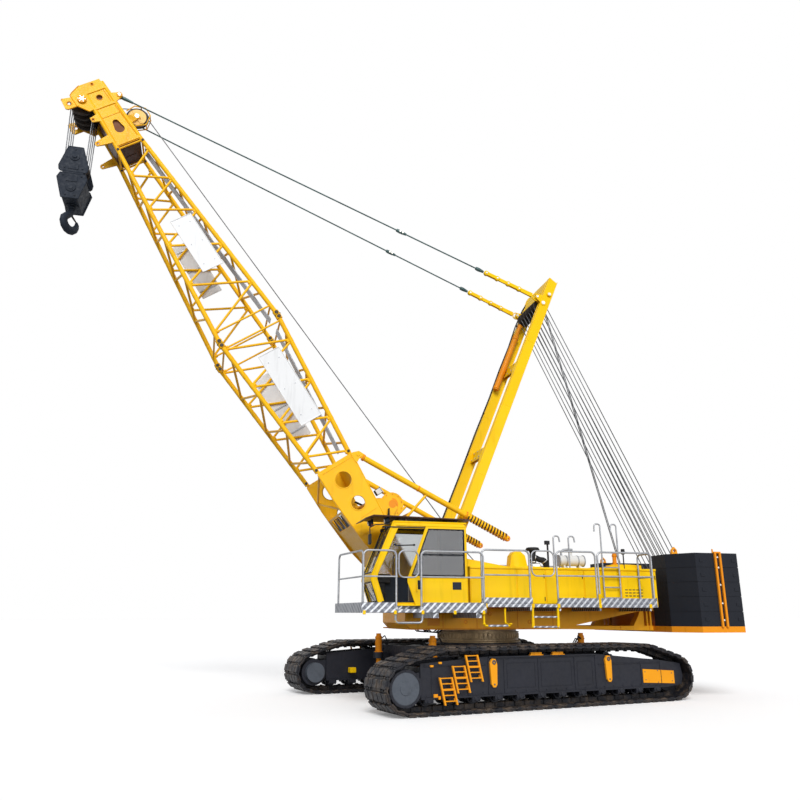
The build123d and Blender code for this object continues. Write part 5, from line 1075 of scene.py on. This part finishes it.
# boom winch: rope, hubs, hoses and a small box
make("boom_winch_wraps", "rope", "boom", [wraps(WINCH_PIN[0], -590, WINCH_PIN[1], 231, 44)])
for side in (1, -1):
    add(disc(at_pin(WINCH_PIN, side * 634), Y, 150, 16, sides=32, edge=5))
    add(disc(at_pin(WINCH_PIN, side * 650), Y, 105, 60, sides=32, edge=10))
    add(*bolt_circle(at_pin(WINCH_PIN, side * 628), 250, 10, 15, 18))
    for s, t in ((1900, 250), (2250, 330), (2700, 380)):
        add(brick((s - 50, side * 560, t), (s + 50, side * 640, t + 60), 8))
make("boom_winch_hubs", "orange_paint", "boom", flat=True)
for k in range(4):
    y = 700 + k * 42
    add(tube([(300, y, 120), (800, y + 20, 240), (1300, y + 30, 300), (1700, y, 420),
              (1880, y - 60, 560)], 15, 8))
    add(tube([(2480, -y, 300), (2300, -y, 420), (2100, -y + 60, 560)], 15, 8))
add(brick((2290, 640, 480), (2430, 780, 640), 12))
make("boom_hoses", "rubber", "boom")
add(brick((2300, 776, 492), (2420, 790, 628), 5), brick((2275, 640, 636), (2445, 795, 652), 5))
make("boom_box", "white_paint", "boom", flat=True)

# backstops: coil springs over their rods, end eyes
BACKSTOP_TOP, BACKSTOP_END = (3364, 565), (-306, 2622)
rims = []
for side in (1, -1):
    def along(share, side=side):
        return Vector((between(BACKSTOP_TOP[0], BACKSTOP_END[0], share), side * 960,
                       between(BACKSTOP_TOP[1], BACKSTOP_END[1], share)))

    a, b = along(0.735), along(0.985)
    way = (b - a).normalized()
    u, v = Vector(Y), way.cross(Vector(Y))
    points, steps = [], 13 * 14                      # thirteen coils, fourteen points a turn
    for k in range(steps + 1):
        turn = 2 * pi * k / 14
        points.append(tuple(a + (b - a) * (k / steps) + u * (84 * cos(turn)) + v * (84 * sin(turn))))
    add(tube(points, 17, 6))
    for share, radius, thick in ((0.035, 82, 60), (0.4, 76, 40), (0.72, 104, 26), (0.986, 100, 22)):
        rims.append(disc(tuple(along(share)), tuple(way), radius, thick, sides=28, edge=6))
    rims.append(disc(tuple(along(1.0)), Y, 74, 60, sides=28, edge=8, bore=34))
make("backstop_springs", "rubber", "boom")
make("backstop_rims", "orange_paint", "boom", rims, flat=True)

# ---------------------------------------------------------------- boom head
HEAD_PIN, IDLER_PIN, PENDANT_PIN = (14880, -450), (14200, 665), (14660, 460)
FALLS_Y = [(k - 1.5) * 220 for k in range(4)]
# the head's rims, flanges and pin bosses wear the darker orange, a painted shade along its edges
for side in (1, -1):
    face = side * HEAD_HALF
    add(disc((14795, side * 514, -24), Y, 90, 14, sides=40, edge=4, bore=76))
    for s, t, radius in ((14901, -777, 50), (14260, -474, 28), (13588, -697, 28), (15204, -13, 30)):
        add(disc((s, face - side * 17, t), Y, radius + 26, 44, sides=32, edge=6, bore=radius))
    for s0, t0, s1, t1 in ((14509, -445, 14768, -644), (14768, -644, 15105, -657), (15105, -657, 15162, -585),
                           (15162, -585, 15284, -332), (14755, -600, 14755, -880), (15090, -870, 15060, -912)):
        add(tube([(s0, face, t0), (s1, face, t1)], 12, 8))
    for s0, t0, s1, t1 in ((13440, 290, 14440, 215), (13440, -290, 14440, -250), (14600, 190, 14960, 165)):
        add(tube([(s0, side * 513, t0), (s1, side * 513, t1)], 10, 8))
    add(brick((14200, side * 513 - 8, -250), (14216, side * 513 + 8, 215), 3))
    add(disc(at_pin(PENDANT_PIN, side * 540), Y, 74, 24, sides=32, edge=6))
    add(disc(at_pin(HEAD_PIN, side * 562), Y, 112, 34, sides=40, edge=10))
make("head_rims", "edge_paint", "boom")

for side in (1, -1):
    add(disc(at_pin(HEAD_PIN, side * 580), Y, 52, 20, sides=32, edge=6))
    add(*bolt_circle(at_pin(HEAD_PIN, side * 582), 84, 6, 11, 12))
    add(disc(at_pin(PENDANT_PIN, side * 552), Y, 40, 20, sides=28, edge=6))
    add(disc(at_pin(IDLER_PIN, side * 124), Y, 60, 20, sides=28, edge=6))
make("head_pin_caps", "bright_steel", "boom")


def sheave(centre, radius, wide, sides=56):
    """A turned rope sheave about Y: flared lips, a groove, a thin web and a hub."""
    half = wide / 2
    rim = [(0.12, 1), (0.26, 1), (0.3, 0.25), (0.76, 0.25), (0.83, 0.9), (1, 1), (1, 0.8), (0.9, 0.2)]
    profile = [(radius * r, -half * w) for r, w in rim] + [(radius * r, half * w) for r, w in reversed(rim)]
    return turned(profile, centre, Y, sides, True)


make("head_idler", "sheave_steel", "boom", [sheave(at_pin(IDLER_PIN, 0), 290, 80)], slot="yellow_steel")
add(*[sheave(at_pin(HEAD_PIN, y), 305, 62) for y in FALLS_Y])
make("head_sheaves_turned", "sheave_steel", "boom", replaces="boom_head_sheaves")
add(tube([at_pin(HEAD_PIN, -520), at_pin(HEAD_PIN, 520)], 58, 24))
for x, z in ((14100, 980), (14420, 900), (13900, 760)):
    add(tube([(x, -110, z), (x, 110, z)], 16, 8))
for side in (1, -1):
    add(tube([(x, side * 108, z) for x, z in ((13960, 480), (13880, 760), (14080, 985), (14330, 985),
                                              (14500, 760), (14450, 500))], 15, 8))
make("idler_guard", "boom_paint", "boom")
# brown plates across and along the inside of the head: painted shade in its interior
for low, high in (((CHORD_END + 16, -478, -318), (CHORD_END + 27, 478, 318)),
                  ((13412, -480, -276), (14460, 480, -262)), ((13412, -480, 214), (14900, 480, 224)),
                  ((13402, -478, -334), (13950, 478, -322)), ((13400, -210, -255), (14960, -196, 210)),
                  ((13400, 196, -255), (14960, 210, 210))):
    add(brick(low, high))
for y0, y1, t0, t1 in ((-330, -80, -120, 160), (60, 330, -160, 120)):
    add(brick((CHORD_END + 4, y0, t0), (CHORD_END + 18, y1, t1), 5))
make("head_shade_plates", "brown_paint", "boom", flat=True)
for side in (1, -1):                                 # inner plates seen through the side openings, in dark brown: painted shade inside the head
    for s0, t0, s1, t1 in ((14640, -150, 14960, 110), (13560, -230, 14380, 190)):
        add(brick((s0, side * 452, t0), (s1, side * 462, t1), 8))
make("head_opening_shade", "hole_paint", "boom", flat=True)
for side in (1, -1):                                 # cheeks over the idler
    x, y, z = at_pin(IDLER_PIN, side * 62)
    add(disc((x, y, z), Y, 236, 10, sides=40, edge=3))
    add(disc((x, side * 74, z), Y, 96, 20, sides=32, edge=6))
    add(brick((x - 220, y, z - 34), (x + 220, y + side * 20, z + 34), 8))
make("idler_cheeks", "idler_cream", "boom")

# ---------------------------------------------------------------- mast
MAST_LENGTH, BEAM_Y = 8950, 698
LUFF_FALLS = 7
# the luffing blocks: (x, z), half their sheaves' spread and half their pins, on the mast and on the frame
MAST_BLOCK, FRAME_BLOCK = ((8150, -50), 538, 590), ((-5600, 2560), 620, 680)


def luffing_row(pin, half, reach):
    """The luffing ropes' sheaves in a row, on their pin."""
    falls = [between(-half, half, k / (LUFF_FALLS - 1)) for k in range(LUFF_FALLS)]
    return [sheave(at_pin(pin, y), 190, 48, sides=40) for y in falls] + [
        tube([at_pin(pin, -reach), at_pin(pin, reach)], 56, 20)]


for side in (1, -1):
    for face in (618, 778):
        for t in (-125, 125):
            add(tube([(300, side * face, t), (MAST_LENGTH - 10, side * face, t)], 11, 8))
    add(disc((0, side * BEAM_Y, 0), Y, 122, 190, sides=36, edge=10, bore=52))
    add(disc((8150, side * 780, -50), Y, 90, 20, sides=36, edge=6))
    for s in (900, 2900, 4900, 6900):
        add(brick((s - 8, side * BEAM_Y - 84, -130), (s + 8, side * BEAM_Y + 84, 130), 3))
    add(disc((8460, side * 812, 20), Y, 62, 12, sides=32, edge=4))
    for s in (3660, 6340):
        add(brick((s - 170, side * 616 - 10, -20), (s + 170, side * 616 + 10, 120), 4))
for s in (3508, 3812, 6188, 6492):
    add(tube([(s, -610, 10), (s, 610, 10)], 12, 8))
make("mast_welds", "yellow_paint", "mast")

for side in (1, -1):
    add(disc((8460, side * 822, 20), Y, 50, 34, sides=32, edge=8))
    add(disc((8150, side * 796, -50), Y, 55, 20, sides=32, edge=6))
    add(disc((8270, side * BEAM_Y, -255), Y, 22, 130, sides=20, edge=4))
    for dy in (-62, 62):
        add(disc((8270, side * BEAM_Y + dy, -255), Y, 36, 12, sides=24, edge=3))
add(*bolts([(s, y, -18) for s in (3560, 3760, 6240, 6440) for y in (-560, -280, 0, 280, 560)], Z, 20, 20))
make("mast_pins", "bright_steel", "mast")

add(*luffing_row(*MAST_BLOCK))
make("mast_sheaves_turned", "sheave_steel", "mast_block", replaces="mast_sheaves")

# hose down the far beam's front face
add(tube([(8700, -640, -130), (8500, -660, -170), (7900, -680, -190), (7200, -680, -160),
          (6400, -672, -172), (5500, -680, -150), (4300, -676, -165), (3000, -684, -150),
          (1600, -680, -160), (400, -660, -120)], 19, 8))
for s in (7950, 7050, 6000, 5000, 3700, 2300, 1100):
    add(brick((s - 22, -712, -168), (s + 22, -650, -122), 6))
make("mast_hose", "rubber", "mast")

for x in (5790, 7450):
    add(disc((x, -513, -105), X, 92, 40, sides=28, edge=6))
add(disc((7880, -513, -105), Y, 66, 76, sides=24, edge=6))
add(tube([(5900, -590, -60), (6500, -600, -50), (7300, -590, -60)], 14, 8))
make("cylinder_glands", "orange_paint", "mast")

# ---------------------------------------------------------------- frame's luffing block
add(*luffing_row(*FRAME_BLOCK))
make("lower_sheaves_turned", "sheave_steel", "frame_block", replaces="lower_sheaves")

# ---------------------------------------------------------------- pendants
ropes, links, eye, shackles, sockets = [], [], [], [], []
for side in (1, -1):
    a = BOOM_AT @ Vector((14.660, side * 0.455, 0.460))          # on the boom head's pin
    b = MAST_AT @ Vector((8.250, side * 0.698, -0.285))          # on the mast's pin
    way = (b - a).normalized()
    up = way.cross(Vector(Y)).normalized()
    flat = way.cross(up)

    def along(share, lift=0.0, out=0.0, a=a, b=b, up=up, flat=flat):
        return tuple(a + (b - a) * share + up * lift + flat * out)

    for k, (s0, s1) in enumerate(((0.872, 0.905), (0.9, 0.933), (0.928, 0.96), (0.955, 0.99))):   # link straps
        for out in ((-0.034, 0.034) if k % 2 == 0 else (-0.014, 0.014)):
            strip = []
            for share, half in ((s0, 0.03), (s0 + 0.003, 0.046), (s1 - 0.003, 0.046), (s1, 0.03)):
                strip.append([along(share, half, out - 0.008), along(share, half, out + 0.008),
                              along(share, -half, out + 0.008), along(share, -half, out - 0.008)])
            links.append(skin(strip))
    for share in (0.875, 0.9025, 0.93, 0.957):
        shackles.append(disc(along(share), tuple(flat), 0.026, 0.12, sides=18, edge=0.004))
        links.append(disc(along(share), tuple(flat), 0.07, 0.09, sides=24, edge=0.012))
    for s0, s1, r in ((0.0, 0.03, 0.048), (0.848, 0.868, 0.055), (0.652, 0.676, 0.052)):
        sockets.append(tube([along(s0), along(s0 + (s1 - s0) * 0.35), along(s1)], [r * 0.8, r, r * 0.6], 16))
    for k in range(2):
        shackles.append(disc(along(0.661 + 0.006 * k), tuple(flat), 0.03, 0.11, sides=18, edge=0.004))
    ropes.append(tube([along(share) for share in (0.02, 0.3, 0.6, 0.86)], 0.019, 10))
    ropes.append(disc(tuple(a), Y, 0.074, 0.056, sides=32, edge=0.008, bore=0.044))
    # the long link's eye, which hangs on the mast's pin
    eye.append(disc(tuple(b), Y, 0.108, 0.03, sides=40, edge=0.006, bore=0.084))
    for out in (-0.02, 0.02):
        eye.append(skin([[tuple(a + (b - a) * share + up * (half * lift) + Vector((0, out + thin, 0)))
                          for lift, thin in ((1, -0.007), (1, 0.007), (-1, 0.007), (-1, -0.007))]
                         for share, half in ((0.955, 0.05), (0.9905, 0.06))]))
links += eye
make("pendant_ropes", "pendant_rope", "pendants", ropes, at=HERE, replaces="pendants")
make("pendant_links", "yellow_paint", "pendants", links, at=HERE, flat=True)
make("pendant_shackles", "bright_steel", "pendants", shackles, at=HERE)
make("pendant_sockets", "pendant_rope", "pendants", sockets, at=HERE)

# ---------------------------------------------------------------- ropes
LUFF_ROPE, HOIST_ROPE = 0.012, 0.013                 # their radii
GROOVE = 0.178                                       # from a luffing sheave's axle to its rope
# each half covers this share of the run at rest, so they still overlap when the boom is lowest
ROPE_SHARE = 0.68
MAST_REST, FRAME_REST = MAST_AT @ Vector((8.150, 0, -0.050)), Vector((-5.600, 0, 2.560))
upper, lower = [], []
run = FRAME_REST - MAST_REST
for k in range(LUFF_FALLS):
    top_y, low_y = (between(-half, half, k / (LUFF_FALLS - 1)) for half in (0.538, 0.620))
    for way in (-1, 1):
        normal = Vector((-run.z, 0, run.x)).normalized() * (way * GROOVE)
        a = Vector((MAST_REST.x, top_y, MAST_REST.z)) + normal
        b = Vector((FRAME_REST.x, low_y + (0.02 if way > 0 else -0.02), FRAME_REST.z)) + normal
        upper.append(tube([tuple(a), tuple(a + (b - a) * ROPE_SHARE)], LUFF_ROPE, 6))
        lower.append(tube([tuple(b), tuple(b + (a - b) * ROPE_SHARE)], LUFF_ROPE, 6))
make("luffing_ropes_upper", "rope", "mast_block", upper, at=HERE)
make("luffing_ropes_lower", "rope", "frame_block", lower, at=HERE)

# the luffing winch's pair of ropes, in halves too
for name, body, shares in (("luffing_pair_upper", "mast_block", (0.0, ROPE_SHARE)),
                           ("luffing_pair_lower", "frame_block", (1 - ROPE_SHARE, 1.0))):
    for y in (0.44, 0.50):
        top, low = MAST_AT @ Vector((8.150, y, 0.13)), Vector((-3.88, y, 2.78))
        add(tube([tuple(top + (low - top) * share) for share in shares], LUFF_ROPE, 6))
    make(name, "rope", body, at=HERE)

# the hoist rope: from its drum to a guide, on to the boom's idler, and over the head
IDLER = BOOM_AT @ Vector((14.200, 0, 0.665))
DRUM, GUIDE = Vector((-0.45, 0.12, 2.50)), Vector((1.0, 0.30, 4.19))
low_run = (DRUM + Vector((0.1, 0, 0.23)), between(DRUM, GUIDE, 0.5), GUIDE)
reach, lean = IDLER - GUIDE, Vector((-0.29, 0, 0))
long_run = [GUIDE + reach * (k / 24) + lean * (k / 24) for k in range(25)]
head_run = [BOOM_AT @ Vector(p) for p in ((14.120, 0, 0.955), (14.25, 0, 0.965), (14.42, 0, 0.87),
                                          (14.70, 0, 0.30), (14.96, 0.05, -0.1), (15.12, 0.11, -0.32))]
for part, body, run in (("low", UP, low_run), ("long", "boom", long_run), ("head", "boom", head_run)):
    make(f"hoist_rope_{part}", "rope", body, [tube([tuple(p) for p in run], HOIST_ROPE, 8)], at=HERE)

# ---------------------------------------------------------------- hook block
HX, BLOCK_TOP, BLOCK_LOW = 10534.75, 13240, 11800
UPPER_CHEEK = [(-347, 12680), (-175, BLOCK_TOP), (175, BLOCK_TOP), (347, 12680), (330, 12570), (290, 12530),
               (-290, 12530), (-330, 12570)]
LOWER_CHEEK = [(-290, 12480), (-352, 12350), (-200, BLOCK_LOW), (200, BLOCK_LOW), (352, 12350), (290, 12480)]
CHEEK_Y, UPPER_AXLE, LOWER_AXLE = 430, 12960, 12085
for side in (1, -1):
    y = side * CHEEK_Y
    for cheek in (UPPER_CHEEK, LOWER_CHEEK):
        ring = [(HX + x, z) for x, z in cheek]
        for a, b in zip(ring, ring[1:] + ring[:1]):
            add(tube([(a[0], y - side * 6, a[1]), (b[0], y - side * 6, b[1])], 13, 8))
    for z, radius in ((UPPER_AXLE, 118), (LOWER_AXLE, 118), (UPPER_AXLE, 64), (LOWER_AXLE, 64)):
        add(disc((HX, y + side * (22 if radius < 100 else 8), z), Y, radius, 24, sides=40, edge=8))
    for dx, z in ((-210, 12640), (210, 12640), (-215, 12420), (215, 12420),
                  (-110, 11880), (110, 11880), (0, 13170)):
        add(disc((HX + dx, y + side * 6, z), Y, 26, 22, sides=6))
    for half, low, high in ((120, 12600, 12740), (130, 12250, 12420)):
        add(brick((HX - half, y, low), (HX + half, y + side * 12, high), 6))
for z in (12600, 12280, 12000):
    for way in (-1, 1):
        x = HX + way * 250 * (z / 12600) ** 6
        add(tube([(x, -405, z), (x, 405, z)], 20, 12))
add(disc((HX, 0, BLOCK_LOW - 12), Z, 150, 24, sides=36, edge=8))
make("hook_block_cheeks", "cast_black", "hook_block")
add(*[sheave((HX, y, UPPER_AXLE), 262, 58, sides=48) for y in FALLS_Y])
make("hook_block_sheaves", "sheave_steel", "hook_block")

# the forged hook, with a nut, a collar and a latch: a rounded section swept down its bend, given by
# (x, z, half width, half thickness)
HOOK_TURN = radians(60)
HOOK_AT = Matrix.Translation((0.001 * HX, 0, 0.001 * BLOCK_LOW)) @ Matrix.Rotation(HOOK_TURN, 4, "Z") @ MM
spine = [(0, -120, 84, 78), (8, -185, 86, 80), (70, -270, 84, 82), (150, -345, 88, 80),
         (215, -425, 96, 82), (222, -510, 104, 82), (170, -600, 112, 82), (80, -655, 116, 82),
         (0, -662, 114, 82), (-95, -645, 106, 80), (-185, -575, 92, 74), (-235, -490, 74, 64),
         (-248, -420, 56, 52), (-228, -352, 32, 32), (-214, -334, 10, 12)]
rings = []
for k, (x, z, wide, thick) in enumerate(spine):
    x0, z0 = spine[max(0, k - 1)][:2]
    x1, z1 = spine[min(len(spine) - 1, k + 1)][:2]
    run = hypot(x1 - x0, z1 - z0)
    nx, nz = -(z1 - z0) / run, (x1 - x0) / run
    ring = []
    for j in range(20):
        a = 2 * pi * j / 20
        c, s = cos(a), sin(a)
        grow = 1.0 + 0.08 * abs(c * s)
        ring.append((x + nx * wide * c * grow, thick * s * grow, z + nz * wide * c * grow))
    rings.append(ring)
add(skin(rings))
add(disc((0, 0, -70), Z, 96, 60, sides=36, edge=12), disc((0, 0, -128), Z, 90, 26, sides=36, edge=8))
make("hook_forging", "cast_black", "hook", at=HOOK_AT, replaces="hook")
add(tube([(52, 0, -250), (-40, 0, -262), (-150, 0, -320), (-215, 0, -352)], [22, 26, 22, 15], 10))
add(disc((48, 0, -250), Y, 40, 120, sides=20, edge=6))
make("hook_latch", "sheave_steel", "hook", at=HOOK_AT, slot="black_steel")

# ---------------------------------------------------------------- floor, light, camera
FLOOR_HALF, FLOOR_GLOW, FLOOR_GREY = 400, 0.17, (0.26, 0.25, 0.24)
SKY, WHITE = (0.96, 0.97, 1.0), (1, 1, 1)
SKY_LIGHT = 0.42
floor_mesh = bpy.data.meshes.new("floor")
corners = [(FLOOR_HALF * x, FLOOR_HALF * y, 0) for x, y in ((-1, -1), (1, -1), (1, 1), (-1, 1))]
floor_mesh.from_pydata(corners, [], [(0, 1, 2, 3)])
floor = bpy.data.objects.new("floor", floor_mesh)
bpy.context.collection.objects.link(floor)


def seen_by(n, *kinds):
    """One for the rays of the given kinds, none for the others."""
    paths = n.add("ShaderNodeLightPath")
    seen = paths.outputs[f"Is {kinds[0]} Ray"]
    for kind in kinds[1:]:
        seen = n.maths("MAXIMUM", seen, paths.outputs[f"Is {kind} Ray"])
    return seen


def shine(n, kind, colour, **strength):
    """The output of a plain light or surface shader."""
    node = n.add(kind)
    for key, value in {"Color": colour, **strength}.items():
        n.put(value, node.inputs[key])
    return node.outputs[0]


def choose(n, share, if_none, if_one, into):
    """Links one of two shaders to an output."""
    node = n.add("ShaderNodeMixShader")
    for value, socket in zip((share, if_none, if_one), node.inputs):
        n.link(value, socket)
    n.link(node.outputs[0], into)


# the floor is white and a little lit where it is seen, and grey where light only bounces off it
n = Nodes("floor_white")
n.finish(n.mix(n.span(n.noise(0.15, 2), 0.4, 0.6), (0.93, 0.93, 0.93), (0.95, 0.95, 0.95)), 0.9)
added = n.add("ShaderNodeAddShader")
n.link(n.shader.outputs[0], added.inputs[0])
n.link(shine(n, "ShaderNodeEmission", WHITE, Strength=FLOOR_GLOW), added.inputs[1])
surface = next(x for x in n.tree.nodes if x.type == "OUTPUT_MATERIAL").inputs["Surface"]
choose(n, seen_by(n, "Camera", "Glossy"), shine(n, "ShaderNodeBsdfDiffuse", FLOOR_GREY),
       added.outputs[0], surface)
floor_mesh.materials.append(n.material)

# the sky is plain white where it is seen, and a dimmer cool light elsewhere
world = bpy.data.worlds.new("studio")
bpy.context.scene.world = world
world.use_nodes = True
sky = Tree(world.node_tree)
sky.tree.nodes.clear()
choose(sky, seen_by(sky, "Camera", "Glossy", "Transmission"),
       shine(sky, "ShaderNodeBackground", SKY, Strength=SKY_LIGHT),
       shine(sky, "ShaderNodeBackground", WHITE, Strength=1.0),
       sky.add("ShaderNodeOutputWorld").inputs["Surface"])


def sun(name, strength, angle, turn, tilt):
    """A soft sun: its light comes from the given turn about +Z and height above the floor, in degrees."""
    lamp = bpy.data.lights.new(name, "SUN")
    lamp.energy = strength
    lamp.angle = radians(angle)
    holder = bpy.data.objects.new(name, lamp)
    bpy.context.collection.objects.link(holder)
    a, e = radians(turn), radians(tilt)
    way = Vector((cos(a) * cos(e), sin(a) * cos(e), sin(e)))
    holder.rotation_mode = "QUATERNION"
    holder.rotation_quaternion = way.to_track_quat("Z", "Y")


sun("key", 2.3, 24, 74, 38)
sun("fill", 1.1, 30, 100, 7)

camera = bpy.data.objects.new("camera", bpy.data.cameras.new("camera"))
bpy.context.collection.objects.link(camera)
bpy.context.scene.camera = camera
SENSOR_MM, LENS_MM, FAR_M = 36, 33.57, 500
CAMERA_AT, YAW, TILT_UP = (6.608, 18.263, 1.831), 0.248, 0.283
camera.data.sensor_width, camera.data.lens, camera.data.clip_end = SENSOR_MM, LENS_MM, FAR_M
look = Vector((-sin(YAW) * cos(TILT_UP), -cos(YAW) * cos(TILT_UP), sin(TILT_UP)))
camera.location = CAMERA_AT
camera.rotation_mode = "QUATERNION"
camera.rotation_quaternion = look.to_track_quat("-Z", "Y")

bpy.context.scene.view_settings.view_transform = "Standard"
